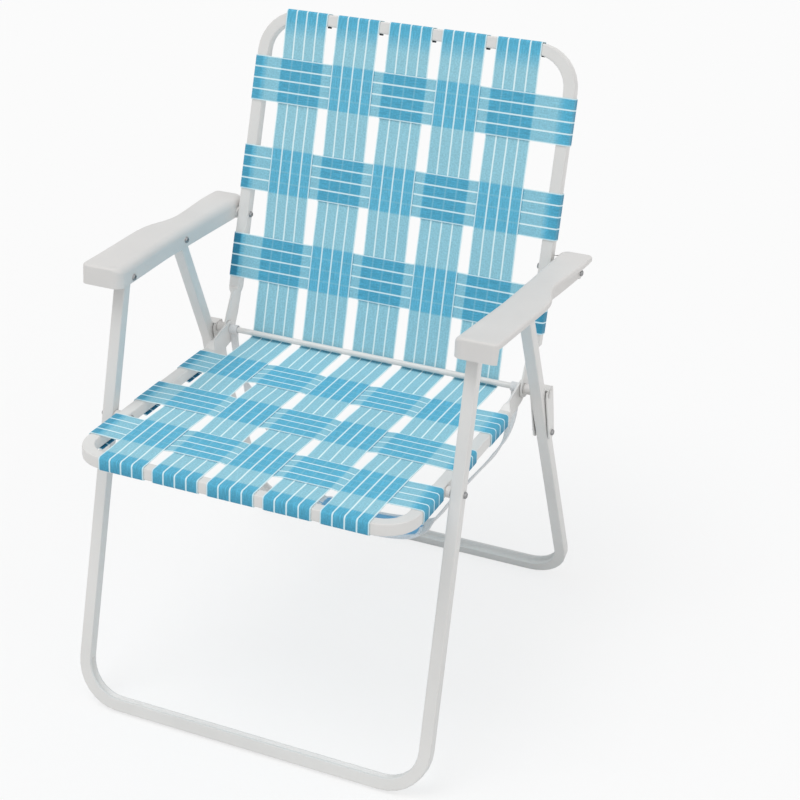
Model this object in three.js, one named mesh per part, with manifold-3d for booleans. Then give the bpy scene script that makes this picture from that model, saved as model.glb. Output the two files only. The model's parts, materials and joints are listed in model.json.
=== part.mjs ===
// A folding lawn chair: four bent tube frames, two channel armrests, two hinge brackets and woven webbing.
// Millimetres. The chair faces -Y and stands on z = 0, with its origin under the middle of its box.
import * as THREE from 'three';
import { mergeVertices } from 'three/addons/utils/BufferGeometryUtils.js';
import Module from 'manifold-3d';

const wasm = await Module();
wasm.setup();

// Tube stock and clearances
const tube = 16;
const tube_corner = 2.5;
const tube_bore = 13.6;
const tube_bore_depth = 24;
const tail_thickness = 3;
const tail_height = 32;
const gap = 0.3;
const overrun = 4;
const stand_flat = 0.4;

// Side view of the unfolded chair
const hinge_height = 363.2;
const back_lean = 19;
const seat_rise = 4;
const tube_offset = 16;
const back_height = 434.8;
const seat_depth = 391;
const arm_pin_up_back = 158.52;
const arm_tilt = 5.78;
const arm_pin_spacing = 295.28;
const rear_pin_forward = 148.65;
const rear_pin_above = 4;
const seat_pin_share = 0.707263;
const seat_pin_forward = seat_pin_share * seat_depth;
const link_length = 64.6;

// Half widths to the middle of each side tube: the seat is innermost and each frame lies outside the last
const seat_half = 212.5;
const back_past_seat = 5.5;
const front_leg_past_back = 17;
const rear_leg_past_front = 6;
const back_half = seat_half + back_past_seat;
const front_leg_half = back_half + front_leg_past_back;
const rear_leg_half = front_leg_half + rear_leg_past_front;

// Bends, and the legs' ends above their pins
const back_bend = 50;
const seat_bend = 38;
const leg_bend = 53;
const bend_steps = 8;
const leg_above_pin = 9;

// Flattened tube ends: where the flat starts and is fully pressed, and how far it runs past the rod
const back_flat_start = 62;
const back_flat_end = 34;
const seat_flat_start = 58;
const seat_flat_end = 30;
const tail_past_rod = 12;
const tail_ear = 11;
const back_tail_inset = 2.2;
// The round ear past the rod: how far out each step lies and how high it is
const ear_run_shares = [1, 0.8, 0.4, 0];
const ear_height_shares = [0.45, 0.72, 0.94, 1];
// The flat before the tube: how far along, how far over to the tube's middle, and how high
const flat_run_shares = [0.6, 1];
const flat_move_shares = [0.35, 0.75];
const flat_height_shares = [1, 0.85];
const halfway_move_share = 0.8;

// Rod and pins
const rod_radius = 4;
const rod_head_radius = 6.5;
const rod_head = 2.2;
const pin_radius = 3;
const pin_head_radius = 5;
const pin_head = 2.6;
const spacer_radius = 7;
const round_sides = 12;
// Head profiles from the outer face inwards: how far out and how wide
const dome_shares = [[1, 0.6], [0.55, 0.92], [0, 1]];
const button_shares = [[1, 0.7], [0.5, 1], [0, 1]];

// Hinge bracket: two side plates and the cap that joins them behind the rear leg
const plate_thickness = 1.8;
const plate_gap = 1.5;
const plate_rod_radius = 12.5;
const plate_pin_radius = 9.5;
const cap_depth = 15;
const cap_forward = 4;

// Webbing
const web_width = 61;
const web_thickness = 1;
const weave_lift = 0.7;
const web_tail = 14;
const web_round = 3.3;
const web_lead = 16;
const long_count = 5;
const long_shift_at_top = -6.8;
const long_rod_radius = 7.2;
// The pitch of the long straps at the rod, the top bar and the front bar, as shares of the seat's half width
const rod_pitch_share = 0.3506;
const top_pitch_share = 0.3553;
const front_pitch_share = 0.3431;
const back_row_shares = [0.2346, 0.5163, 0.7981];
const seat_row_shares = [0.2558, 0.5396];
const row_past_spacer = 3.96;
const corner_shares = [0, 0.5, 1];
const rod_turn_shares = [1, 0.75, 0.5, 0.25, 0];
const least_miter_share = 0.5;

// Armrest channel, along the arm from its rear pin and up from the line of the pins
const arm_past_front_pin = 27.72;
const arm_rear = 14;
const arm_top = 19.5;
const arm_bottom = 6;
const arm_wall = 2.4;
const arm_roof = 3;
const arm_round = 7;
const arm_front_corner = 14;
const arm_corner = 12;
// Sideways: from the back tube to the arm's inner face, its steps inwards, and its widths
const arm_off_back = 3.4;
const arm_step_middle = 1.8;
const arm_step_front = 5;
const arm_rear_width = 32.6;
const arm_middle_width = 44.4;
const arm_front_width = 58.4;
const arm_rib_thickness = 2.4;
const arm_boss_radius = 8;
const rib_behind_rear_pin = 32.4;
const rib_past_front_pin = 13.2;
// How far along the arm its edges bend, as shares of its length ahead of the rear pin
const inner_bend_shares = [0.33, 0.5, 0.665, 0.78];
const outer_bend_shares = [0.06, 0.12, 0.37, 0.59];

// Carry strap: from the rod at one side down to a pad and up to the other side
const strap_width = 25;
const strap_loop_width = 11;
const strap_thickness = 2;
const strap_loop_thickness = 1.6;
const pad_length = 150;
const pad_width = 38;
const pad_thickness = 9;
const pad_sag = 16;
const carry_steps = 48;
const pad_steps = 12;
// Places along the strap, as shares of its length: the end of its loop, full width, and lying flat
const loop_share = 0.035;
const wide_share = 0.0875;
const flat_share = 0.3;
// The pad's soft ends: how much of its half length they take, and how thin and narrow they get
const pad_end_share = 0.25;
const pad_least_share = 0.3;
const pad_narrow_share = 0.86;
const pad_slot_share = 1.1;
// Half of the strap's route, sideways and below the rod, chosen by hand
const strap_route = [
  [205, 5],
  [204.5, 22],
  [200, 54],
  [190, 84],
  [175, 113],
  [153, 144],
  [128, 180],
  [105, 216],
  [84, 243],
];

// Colours
const frame_colour = 0xd6d6d4;
const plastic_colour = 0xcfcfcd;
const pin_colour = 0xb9bab9;
const web_colour = 0x6fb3cb;
const strap_colour = 0xc4c6c8;
const pad_colour = 0x4f9fc0;

const weld = 0.0003;
const half_tube = tube / 2;
const radians = THREE.MathUtils.degToRad;
const roundFit = (radius) => (radius + gap) / Math.cos(Math.PI / round_sides);

// Solids as manifolds and back
function solid(geometry) {
  const plain = geometry.clone();
  plain.deleteAttribute('normal');
  plain.deleteAttribute('uv');
  const merged = mergeVertices(plain, weld);
  const mesh = new wasm.Mesh({
    numProp: 3,
    vertProperties: new Float32Array(merged.attributes.position.array),
    triVerts: new Uint32Array(merged.index.array),
  });
  return new wasm.Manifold(mesh);
}

function geometryOf(manifold) {
  const mesh = manifold.getMesh();
  const geometry = new THREE.BufferGeometry();
  geometry.setAttribute('position', new THREE.BufferAttribute(mesh.vertProperties, 3));
  geometry.setIndex(new THREE.BufferAttribute(mesh.triVerts, 1));
  return geometry;
}

function cut(geometry, cutters) {
  let body = solid(geometry);
  for (const cutter of cutters) body = body.subtract(solid(cutter));
  return geometryOf(body);
}

function join(pieces) {
  let body = solid(pieces[0]);
  for (const piece of pieces.slice(1)) body = body.add(solid(piece));
  return geometryOf(body);
}

function flipped(geometry) {
  const index = geometry.index.array;
  for (let i = 0; i < index.length; i += 3) {
    [index[i], index[i + 1]] = [index[i + 1], index[i]];
  }
  return geometry;
}

function mirrored(geometry) {
  const plain = geometry.clone();
  plain.deleteAttribute('normal');
  plain.deleteAttribute('uv');
  const merged = mergeVertices(plain, weld);
  merged.applyMatrix4(new THREE.Matrix4().makeScale(-1, 1, 1));
  return flipped(merged);
}

// A closed skin over rings of points that all have the same count
function loft(rings) {
  const count = rings[0].length;
  const points = rings.flat();
  const faces = [];
  for (let i = 0; i < rings.length - 1; i += 1) {
    for (let j = 0; j < count; j += 1) {
      const a = i * count + j;
      const b = i * count + ((j + 1) % count);
      faces.push(a, b, b + count, a, b + count, a + count);
    }
  }
  const last = (rings.length - 1) * count;
  for (let j = 1; j < count - 1; j += 1) {
    faces.push(0, j + 1, j, last, last + j, last + j + 1);
  }
  const geometry = new THREE.BufferGeometry().setFromPoints(points);
  geometry.setIndex(faces);
  return signedVolume(geometry) < 0 ? flipped(geometry) : geometry;
}

function signedVolume(geometry) {
  const { position } = geometry.attributes;
  const corner = [new THREE.Vector3(), new THREE.Vector3(), new THREE.Vector3()];
  let sum = 0;
  for (let i = 0; i < geometry.index.count; i += 3) {
    corner.forEach((point, k) => point.fromBufferAttribute(position, geometry.index.getX(i + k)));
    sum += corner[0].dot(corner[1].cross(corner[2]));
  }
  return sum;
}

// A section with rounded corners, as [sideways, outwards] pairs
function roundedSection(half_side, half_out, corner, steps) {
  const points = [];
  const centres = [[1, 1], [-1, 1], [-1, -1], [1, -1]];
  centres.forEach(([side, out], quarter) => {
    for (let i = 0; i <= steps; i += 1) {
      const angle = (quarter + i / steps) * (Math.PI / 2);
      points.push([
        side * (half_side - corner) + corner * Math.cos(angle),
        out * (half_out - corner) + corner * Math.sin(angle),
      ]);
    }
  });
  return points;
}

// The middle line of a U: up one side, round two bends and down the other side.
// Each station has its place, its heading and the section to draw there.
function bentStations(half_width, start, reach, bend, section) {
  const stations = [{ x: -half_width, run: start, heading: Math.PI / 2, section }];
  for (const side of [-1, 1]) {
    for (let i = 0; i <= bend_steps; i += 1) {
      const share = side < 0 ? i / bend_steps : 1 - i / bend_steps;
      const angle = (share * Math.PI) / 2;
      stations.push({
        x: side * (half_width - bend + bend * Math.cos(angle)),
        run: reach - bend + bend * Math.sin(angle),
        heading: side < 0 ? Math.PI / 2 - angle : angle - Math.PI / 2,
        section,
      });
    }
  }
  stations.push({ x: half_width, run: start, heading: -Math.PI / 2, section });
  return stations;
}

// A tube frame from its stations; place() puts (x, run, out) into the frame's own axes
function bentTube(stations, place) {
  return loft(stations.map((station) => {
    const normal = [-Math.sin(station.heading), Math.cos(station.heading)];
    return station.section.map(([side, out]) => place(
      station.x + normal[0] * side,
      station.run + normal[1] * side,
      out,
    ));
  }));
}

const tube_section = roundedSection(half_tube, half_tube, tube_corner, 2);

function shiftedSection(section, side, out) {
  return section.map(([a, b]) => [a + side, b + out]);
}

// The pressed end of a side tube: it turns from square to flat and ends in a round ear at the rod.
// out_of_tube is how far the tube's middle lies from the rod, along the frame's own outward axis.
function tailStations(half_width, flat_start, flat_end, inset, out_of_tube) {
  const flat = tail_thickness / 2;
  const corner = flat / 2;
  const half_height = tail_height / 2;
  const toward_rod = Math.sign(out_of_tube);
  const ear_middle = toward_rod * (half_height - tail_ear);
  const plate = (share, half) => shiftedSection(
    roundedSection(flat, half, corner, 2),
    -inset,
    THREE.MathUtils.lerp(ear_middle, out_of_tube, share),
  );
  const halfway = shiftedSection(
    roundedSection((half_tube + flat) / 2, (half_tube + half_height) / 2, (tube_corner + corner) / 2, 2),
    -inset / 2,
    THREE.MathUtils.lerp(ear_middle, out_of_tube, halfway_move_share),
  );
  const sections = [
    ...ear_run_shares.map((share, i) => ({
      run: -tail_past_rod * share,
      section: plate(0, half_height * ear_height_shares[i]),
    })),
    ...flat_run_shares.map((share, i) => ({
      run: flat_end * share,
      section: plate(flat_move_shares[i], half_height * flat_height_shares[i]),
    })),
    { run: (flat_start + flat_end) / 2, section: halfway },
    { run: flat_start, section: shiftedSection(tube_section, 0, out_of_tube) },
  ];
  const up = sections.map((item) => ({ ...item, x: -half_width, heading: Math.PI / 2 }));
  const down = sections.map((item) => ({ ...item, x: half_width, heading: -Math.PI / 2 })).reverse();
  return { up, down };
}

function tailedFrame(half_width, reach, bend, flat_start, flat_end, inset, out_of_tube, place) {
  const section = shiftedSection(tube_section, 0, out_of_tube);
  const tails = tailStations(half_width, flat_start, flat_end, inset, out_of_tube);
  const middle = bentStations(half_width, flat_start, reach, bend, section).slice(1, -1);
  return bentTube([...tails.up, ...middle, ...tails.down], place);
}

// A round bar along X between two places, with an optional step list of [x, radius]
function turned(profile) {
  const points = profile.map(([x, radius]) => new THREE.Vector2(radius, x));
  const geometry = new THREE.LatheGeometry(points, round_sides);
  return geometry.applyMatrix4(new THREE.Matrix4().makeRotationZ(-Math.PI / 2));
}

function roundBar(from, to, radius) {
  return turned([[from, 0], [from, radius], [to, radius], [to, 0]]);
}

// The profile of a head that stands out from a place along X, from its outer face inwards
function headProfile(place, direction, length, radius, shares) {
  return shares.map(([out, wide]) => [place + direction * out * length, wide * radius]);
}

// A rivet along X with a domed head at one or both ends
function rivet(from, to, heads = [true, true]) {
  const dome = (place, direction) => headProfile(place, direction, pin_head, pin_head_radius, dome_shares);
  const start = heads[0] ? dome(from, -1) : [];
  const end = heads[1] ? dome(to, 1).reverse() : [];
  const first = heads[0] ? from - pin_head : from;
  const final = heads[1] ? to + pin_head : to;
  return turned([[first, 0], ...start, [from, pin_radius], [to, pin_radius], ...end, [final, 0]]);
}

function holeAcross(radius, from, to, y, z) {
  return roundBar(from, to, roundFit(radius)).translate(0, y, z);
}

// Joints in side view, as (y, z) with y to the rear
const point = (y, z) => new THREE.Vector2(y, z);
const lean_back = radians(back_lean);
const rise = radians(seat_rise);
const tilt = radians(arm_tilt);
const up_back = point(Math.sin(lean_back), Math.cos(lean_back));
const behind_back = point(Math.cos(lean_back), -Math.sin(lean_back));
const along_seat = point(-Math.cos(rise), Math.sin(rise));
const over_seat = point(Math.sin(rise), Math.cos(rise));
const along_arm = point(-Math.cos(tilt), Math.sin(tilt));
const over_arm = point(Math.sin(tilt), Math.cos(tilt));

const hinge = point(0, hinge_height);
const moved = (from, ...steps) => steps.reduce(
  (place, [direction, length]) => place.addScaledVector(direction, length),
  from.clone(),
);
const arm_pin = moved(hinge, [up_back, arm_pin_up_back], [behind_back, tube_offset]);
const front_leg_pin = moved(arm_pin, [along_arm, arm_pin_spacing]);
const rear_leg_pin = moved(arm_pin, [along_arm, rear_pin_forward], [over_arm, rear_pin_above]);
const seat_pin = moved(hinge, [along_seat, seat_pin_forward], [over_seat, -tube_offset]);

// The front leg runs through the seat pin; the rear leg rests against the front of the rod
const front_lean = Math.atan2(front_leg_pin.x - seat_pin.x, front_leg_pin.y - seat_pin.y);
const rod_to_leg = half_tube + rod_radius + gap;
const rear_reach = rear_leg_pin.distanceTo(hinge);
const rear_lean = Math.atan2(hinge.x - rear_leg_pin.x, rear_leg_pin.y - hinge.y)
  - Math.asin(rod_to_leg / rear_reach);
const down_rear_leg = point(Math.sin(rear_lean), -Math.cos(rear_lean));
const rod_foot = Math.sqrt(rear_reach ** 2 - rod_to_leg ** 2);
const link_foot = rod_foot + Math.sqrt(link_length ** 2 - rod_to_leg ** 2);
const link_pin = moved(rear_leg_pin, [down_rear_leg, link_foot]);
const link_lean = Math.atan2(link_pin.x - hinge.x, hinge.y - link_pin.y);

// Where the tilted bars rest on the ground, and how long the legs are
const barReach = (lean) => (half_tube - tube_corner) * (Math.cos(lean) + Math.abs(Math.sin(lean)))
  + tube_corner;
const legLength = (pin, lean) => (pin.y - barReach(lean) + stand_flat) / Math.cos(lean);
const front_leg_length = legLength(front_leg_pin, front_lean);
const rear_leg_length = legLength(rear_leg_pin, rear_lean);
const seat_pin_down_leg = front_leg_pin.distanceTo(seat_pin);

// The scene graph: one group for each moving body, at its pivot
const chair = new THREE.Group();
function bodyGroup(name, pivot, angle) {
  const group = new THREE.Group();
  group.name = name;
  group.position.set(0, pivot.x, pivot.y);
  group.rotation.x = angle;
  chair.add(group);
  return group;
}
const back = bodyGroup('back', hinge, -lean_back);
const seat = bodyGroup('seat', hinge, -rise);
const arms = bodyGroup('arms', arm_pin, -tilt);
const front_legs = bodyGroup('front_legs', front_leg_pin, -front_lean);
const rear_legs = bodyGroup('rear_legs', rear_leg_pin, rear_lean);
const links = bodyGroup('links', hinge, link_lean);
const hanging = bodyGroup('hanging', hinge, 0);

const materials = {
  frame: { color: frame_colour, roughness: 0.4, metalness: 0.1 },
  plastic: { color: plastic_colour, roughness: 0.55, metalness: 0 },
  pin: { color: pin_colour, roughness: 0.35, metalness: 0.8 },
  web: { color: web_colour, roughness: 0.7, metalness: 0 },
  strap: { color: strap_colour, roughness: 0.8, metalness: 0 },
  pad: { color: pad_colour, roughness: 0.8, metalness: 0 },
};
function add(group, name, geometry, finish) {
  const mesh = new THREE.Mesh(geometry, new THREE.MeshStandardMaterial(materials[finish]));
  mesh.name = name;
  group.add(mesh);
}
function addPair(group, name, geometry, finish) {
  add(group, `${name}_right`, geometry, finish);
  add(group, `${name}_left`, mirrored(geometry), finish);
}

// Places in each frame's own axes: x, along the member, and out of its plane
const onBack = (x, run, out) => new THREE.Vector3(x, out, run);
const onSeat = (x, run, out) => new THREE.Vector3(x, -run, out);
const onLeg = (x, run, out) => new THREE.Vector3(x, out, -run);

// Lateral places that the straps, pins, spacers and arms work from
const long_pitch_at_rod = rod_pitch_share * seat_half;
const long_pitch_at_top = top_pitch_share * seat_half;
const long_pitch_at_front = front_pitch_share * seat_half;
const back_inner = back_half - half_tube;
const back_outer = back_half + half_tube;
const seat_inner = seat_half - half_tube;
const seat_outer = seat_half + half_tube;
const front_leg_inner = front_leg_half - half_tube;
const front_leg_outer = front_leg_half + half_tube;
const rear_leg_inner = rear_leg_half - half_tube;
const rear_leg_outer = rear_leg_half + half_tube;
const seat_tail_inner = seat_half - tail_thickness / 2;
const back_tail_outer = back_half - back_tail_inset + tail_thickness / 2;
const plate_inner = rear_leg_inner - plate_gap - plate_thickness;
const plate_outer = rear_leg_outer + plate_gap + plate_thickness;
const arm_front = arm_pin_spacing + arm_past_front_pin;
const arm_inner_rear = back_outer + arm_off_back;
const arm_inner_middle = arm_inner_rear - arm_step_middle;
const arm_inner_front = arm_inner_middle - arm_step_front;
const arm_outer_rear = arm_inner_rear + arm_rear_width;
const arm_outer_middle = arm_inner_middle + arm_middle_width;
const arm_outer_front = arm_inner_front + arm_front_width;

// Frames
function backFrame() {
  const frame = tailedFrame(
    back_half, back_height, back_bend, back_flat_start, back_flat_end, back_tail_inset, tube_offset, onBack,
  );
  const across = back_outer + overrun;
  return cut(frame, [
    holeAcross(rod_radius, -across, across, 0, 0),
    holeAcross(pin_radius, -across, across, tube_offset, arm_pin_up_back),
  ]);
}

function seatFrame() {
  const frame = tailedFrame(
    seat_half, seat_depth, seat_bend, seat_flat_start, seat_flat_end, 0, -tube_offset, onSeat,
  );
  const across = seat_outer + overrun;
  return cut(frame, [
    holeAcross(rod_radius, -across, across, 0, 0),
    holeAcross(pin_radius, -across, across, -seat_pin_forward, -tube_offset),
  ]);
}

// A leg frame has open tube ends, holes for its pins and a flat where it stands
function legFrame(half_width, length, pin_places, group) {
  const stations = bentStations(half_width, -leg_above_pin, length, leg_bend, tube_section);
  const frame = bentTube(stations, onLeg);
  const across = half_width + half_tube + overrun;
  const holes = pin_places.map((place) => holeAcross(pin_radius, -across, across, 0, -place));
  const bores = [-1, 1].map((side) => new THREE.BoxGeometry(tube_bore, tube_bore, tube_bore_depth)
    .translate(side * half_width, 0, leg_above_pin + overrun - tube_bore_depth / 2));
  const ground = new THREE.BoxGeometry(2 * across, length, tube).translate(0, 0, -tube / 2);
  group.updateMatrix();
  const foot_y = group.position.y + length * Math.sin(group.rotation.x);
  const foot = new THREE.Matrix4().makeTranslation(0, foot_y, 0);
  ground.applyMatrix4(group.matrix.clone().invert().multiply(foot));
  return cut(frame, [...holes, ...bores, ground]);
}

add(back, 'back_frame', backFrame(), 'frame');
add(seat, 'seat_frame', seatFrame(), 'frame');
add(
  front_legs,
  'front_leg_frame',
  legFrame(front_leg_half, front_leg_length, [0, seat_pin_down_leg], front_legs),
  'frame',
);
add(
  rear_legs,
  'rear_leg_frame',
  legFrame(rear_leg_half, rear_leg_length, [0, link_foot], rear_legs),
  'frame',
);

// The rod that the seat, the back and the brackets turn on, with a cap at each end
const rod_end = plate_outer + gap;
const rodHead = (side) => headProfile(side * rod_end, side, rod_head, rod_head_radius, button_shares);
add(back, 'pivot_rod', turned([
  [-rod_end - rod_head, 0],
  ...rodHead(-1),
  [-rod_end, rod_radius],
  [rod_end, rod_radius],
  ...rodHead(1).reverse(),
  [rod_end + rod_head, 0],
]), 'frame');

// A collar round the rod or a pin
function collar(from, to, radius, bore) {
  return cut(roundBar(from, to, radius), [roundBar(from - overrun, to + overrun, roundFit(bore))]);
}
addPair(
  back,
  'hinge_spacer',
  collar(back_tail_outer + gap, plate_inner - gap, spacer_radius, rod_radius),
  'plastic',
);

// Hinge brackets: plates on both sides of the rear leg, joined by a cap over the rod
function bracket() {
  const outline = new THREE.Shape();
  const slope = Math.asin((plate_rod_radius - plate_pin_radius) / link_length);
  outline.absarc(0, 0, plate_rod_radius, -slope, Math.PI + slope, false);
  outline.absarc(0, -link_length, plate_pin_radius, Math.PI + slope, 2 * Math.PI - slope, false);
  const options = { depth: plate_thickness, bevelEnabled: false, curveSegments: 7 };
  const plate = new THREE.ExtrudeGeometry(outline, options)
    .applyMatrix4(new THREE.Matrix4().makeBasis(
      new THREE.Vector3(0, 1, 0),
      new THREE.Vector3(0, 0, 1),
      new THREE.Vector3(1, 0, 0),
    ));
  const cap = new THREE.BoxGeometry(plate_outer - plate_inner, cap_depth, plate_thickness).translate(
    (plate_outer + plate_inner) / 2,
    cap_depth / 2 - cap_forward,
    plate_rod_radius + plate_thickness / 2 - gap,
  );
  const body = join([
    plate.clone().translate(plate_inner, 0, 0),
    plate.clone().translate(plate_outer - plate_thickness, 0, 0),
    cap,
  ]);
  const from = plate_inner - overrun;
  const to = plate_outer + overrun;
  return cut(body, [
    holeAcross(rod_radius, from, to, 0, 0),
    holeAcross(pin_radius, from, to, 0, -link_length),
  ]);
}
addPair(links, 'hinge_bracket', bracket(), 'frame');

// The bracket's lower rivet is in three lengths: a head and stub in each plate, and a bush in the leg
const lowerPin = (geometry) => geometry.translate(0, 0, -link_length);
addPair(links, 'bracket_outer_rivet', lowerPin(
  rivet(plate_outer - plate_thickness, plate_outer + gap, [false, true]),
), 'pin');
addPair(links, 'bracket_inner_rivet', lowerPin(
  rivet(plate_inner - gap, plate_inner + plate_thickness, [true, false]),
), 'pin');
addPair(rear_legs, 'rear_leg_bush', roundBar(
  plate_inner + plate_thickness + gap, plate_outer - plate_thickness - gap, pin_radius,
).translate(0, 0, -link_foot), 'pin');

// The front leg's joint to the seat: a rivet and spacer in the seat tube, and a rivet in the leg
const at_seat_pin = (geometry) => geometry.translate(0, -seat_pin_forward, -tube_offset);
addPair(seat, 'seat_rivet', at_seat_pin(
  rivet(seat_inner - gap, front_leg_inner - gap, [true, false]),
), 'pin');
addPair(seat, 'seat_spacer', at_seat_pin(
  collar(seat_outer + gap, front_leg_inner - gap, spacer_radius, pin_radius),
), 'plastic');
addPair(front_legs, 'front_leg_rivet', rivet(
  front_leg_inner, front_leg_outer + gap, [false, true],
).translate(0, 0, -seat_pin_down_leg), 'pin');

// Armrest: a channel, open below, with a rib that carries the outer ends of the leg pins
const arm_rib_inner = rear_leg_outer + plate_gap;
function armOutline(inset) {
  const inner_at = inner_bend_shares.map((share) => share * arm_front);
  const outer_at = outer_bend_shares.map((share) => share * arm_front);
  const front = arm_front - inset;
  const rear = -arm_rear + inset;
  const inner = [arm_inner_rear, arm_inner_middle, arm_inner_front].map((x) => x + inset);
  const outer = [arm_outer_rear, arm_outer_middle, arm_outer_front].map((x) => x - inset);
  const inner_corner = arm_front_corner - inset;
  const corner = arm_corner - inset;
  const shape = new THREE.Shape();
  const sweep = (from, to, x0, x1) => {
    const middle = (from + to) / 2;
    shape.bezierCurveTo(x0, middle, x1, middle, x1, to);
  };
  shape.moveTo(inner[0], rear + corner);
  shape.lineTo(inner[0], inner_at[0]);
  sweep(inner_at[0], inner_at[1], inner[0], inner[1]);
  shape.lineTo(inner[1], inner_at[2]);
  sweep(inner_at[2], inner_at[3], inner[1], inner[2]);
  shape.lineTo(inner[2], front - inner_corner);
  shape.quadraticCurveTo(inner[2], front, inner[2] + inner_corner, front);
  shape.lineTo(outer[2] - corner, front);
  shape.quadraticCurveTo(outer[2], front, outer[2], front - corner);
  shape.lineTo(outer[2], outer_at[3]);
  sweep(outer_at[3], outer_at[2], outer[2], outer[1]);
  shape.lineTo(outer[1], outer_at[1]);
  sweep(outer_at[1], outer_at[0], outer[1], outer[0]);
  shape.lineTo(outer[0], rear + corner);
  shape.quadraticCurveTo(outer[0], rear, outer[0] - corner, rear);
  shape.lineTo(inner[0] + corner, rear);
  shape.quadraticCurveTo(inner[0], rear, inner[0], rear + corner);
  return shape;
}

// Turns an outline drawn with +Y to the front into the arm's own axes
const toArm = new THREE.Matrix4().makeBasis(
  new THREE.Vector3(1, 0, 0),
  new THREE.Vector3(0, -1, 0),
  new THREE.Vector3(0, 0, -1),
);

function armrest() {
  const height = arm_top + arm_bottom;
  const shell = new THREE.ExtrudeGeometry(armOutline(0), {
    depth: height,
    bevelEnabled: true,
    bevelThickness: arm_round,
    bevelSize: arm_round,
    bevelOffset: -arm_round,
    bevelSegments: 4,
    curveSegments: 5,
  }).applyMatrix4(toArm).translate(0, 0, arm_top - arm_round);
  const length = arm_front + arm_rear + 2 * overrun;
  const width = arm_outer_front - arm_inner_front + 2 * overrun;
  const below = new THREE.BoxGeometry(width, length, 2 * height).translate(
    (arm_outer_front + arm_inner_front) / 2,
    (arm_rear - arm_front) / 2,
    -arm_bottom - height,
  );
  const cavity = new THREE.ExtrudeGeometry(armOutline(arm_wall), {
    depth: height,
    bevelEnabled: false,
    curveSegments: 5,
  }).applyMatrix4(toArm).translate(0, 0, arm_top - arm_roof);
  const hollow = cut(shell, [below, cavity]);
  const rib_from = rear_pin_forward - rib_behind_rear_pin;
  const rib_to = arm_pin_spacing + rib_past_front_pin;
  const rib_height = arm_top - arm_roof + arm_bottom / 2 + gap;
  const rib = new THREE.BoxGeometry(arm_rib_thickness, rib_to - rib_from, rib_height).translate(
    arm_rib_inner + arm_rib_thickness / 2,
    -(rib_from + rib_to) / 2,
    arm_top - arm_roof + gap - rib_height / 2,
  );
  const boss = roundBar(back_outer + gap, arm_inner_rear + arm_wall / 2, arm_boss_radius);
  const leg_boss = (inner, y, z) => roundBar(
    inner, arm_rib_inner + arm_rib_thickness / 2, arm_boss_radius,
  ).translate(0, y, z);
  const body = join([
    hollow,
    rib,
    boss,
    leg_boss(front_leg_outer + gap, -arm_pin_spacing, 0),
  ]);
  const inner = arm_inner_front - overrun;
  return cut(body, [
    holeAcross(pin_radius, inner, arm_outer_front, 0, 0),
    holeAcross(pin_radius, inner, arm_rib_inner + 2 * overrun, -arm_pin_spacing, 0),
    holeAcross(pin_radius, inner, arm_rib_inner + 2 * overrun, -rear_pin_forward, rear_pin_above),
  ]);
}
addPair(arms, 'armrest', armrest(), 'plastic');

const rib_outer = arm_rib_inner + arm_rib_thickness;
addPair(arms, 'arm_back_rivet', rivet(back_inner - gap, arm_outer_rear + gap), 'pin');
addPair(arms, 'arm_front_leg_rivet', rivet(
  arm_inner_front - gap, rib_outer + gap,
).translate(0, -arm_pin_spacing, 0), 'pin');
addPair(arms, 'arm_rear_leg_rivet', rivet(
  arm_inner_middle - gap, rib_outer + gap,
).translate(0, -rear_pin_forward, rear_pin_above), 'pin');

// Webbing: an edge profile of even thickness round a middle line, drawn as [along, out] points
function ribbon(line, thickness) {
  const sides = [1, -1].map((side) => line.map((here, i) => {
    const before = line[Math.max(i - 1, 0)];
    const after = line[Math.min(i + 1, line.length - 1)];
    const into = here.clone().sub(before).normalize();
    const onward = after.clone().sub(here).normalize();
    if (i === 0) into.copy(onward);
    if (i === line.length - 1) onward.copy(into);
    const bisector = into.add(onward).normalize();
    const stretch = Math.max(Math.abs(bisector.dot(onward)), least_miter_share);
    const normal = point(-bisector.y, bisector.x);
    return here.clone().addScaledVector(normal, (side * thickness) / (2 * stretch));
  }));
  return new THREE.Shape([...sides[0], ...sides[1].reverse()]);
}

// Rounds the corners of a line of [along, out, radius] points
function roundedLine(corners) {
  const line = [];
  corners.forEach(([along, out, radius = 0], i) => {
    const here = point(along, out);
    if (!radius) {
      line.push(here);
      return;
    }
    const before = point(...corners[i - 1]).sub(here).normalize();
    const after = point(...corners[i + 1]).sub(here).normalize();
    for (const share of corner_shares) {
      const start = here.clone().addScaledVector(before, radius * (1 - share) ** 2);
      line.push(start.addScaledVector(after, radius * share ** 2));
    }
  });
  return line;
}

// Crossings that a strap makes: [place, over or under] turned into a gentle wave
function waveLine(crossings, half_width, level, lift) {
  return crossings.flatMap(([place, over]) => {
    const out = level + over * lift;
    return [[place - half_width, out], [place + half_width, out]];
  });
}

const half_web = web_width / 2;
const off_tube = gap + web_thickness / 2;
const back_rows = back_row_shares.map((share) => share * back_height);
// The last seat row lies just ahead of the spacers at the front leg's pins
const seat_rows = [
  ...seat_row_shares.map((share) => share * seat_depth),
  seat_pin_forward + spacer_radius + row_past_spacer + half_web,
];
const middle_strap = (long_count - 1) / 2;

// The side of each row that a strap passes, out of the plane: rearwards on the back, upwards on the seat
const overAt = (strap, row) => ((strap + row) % 2 === 0 ? -1 : 1);

// The tail end of a strap round a tube: over the near face, down the far side and back under
function wrapRound(near, middle_along, middle_out, direction, out_sign) {
  const reach = half_tube + off_tube;
  const far = middle_along + direction * reach;
  const back_side = middle_out + out_sign * reach;
  return [
    [far, near, web_round],
    [far, back_side, web_round],
    [middle_along + direction * (reach - web_tail), back_side],
  ];
}

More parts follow.
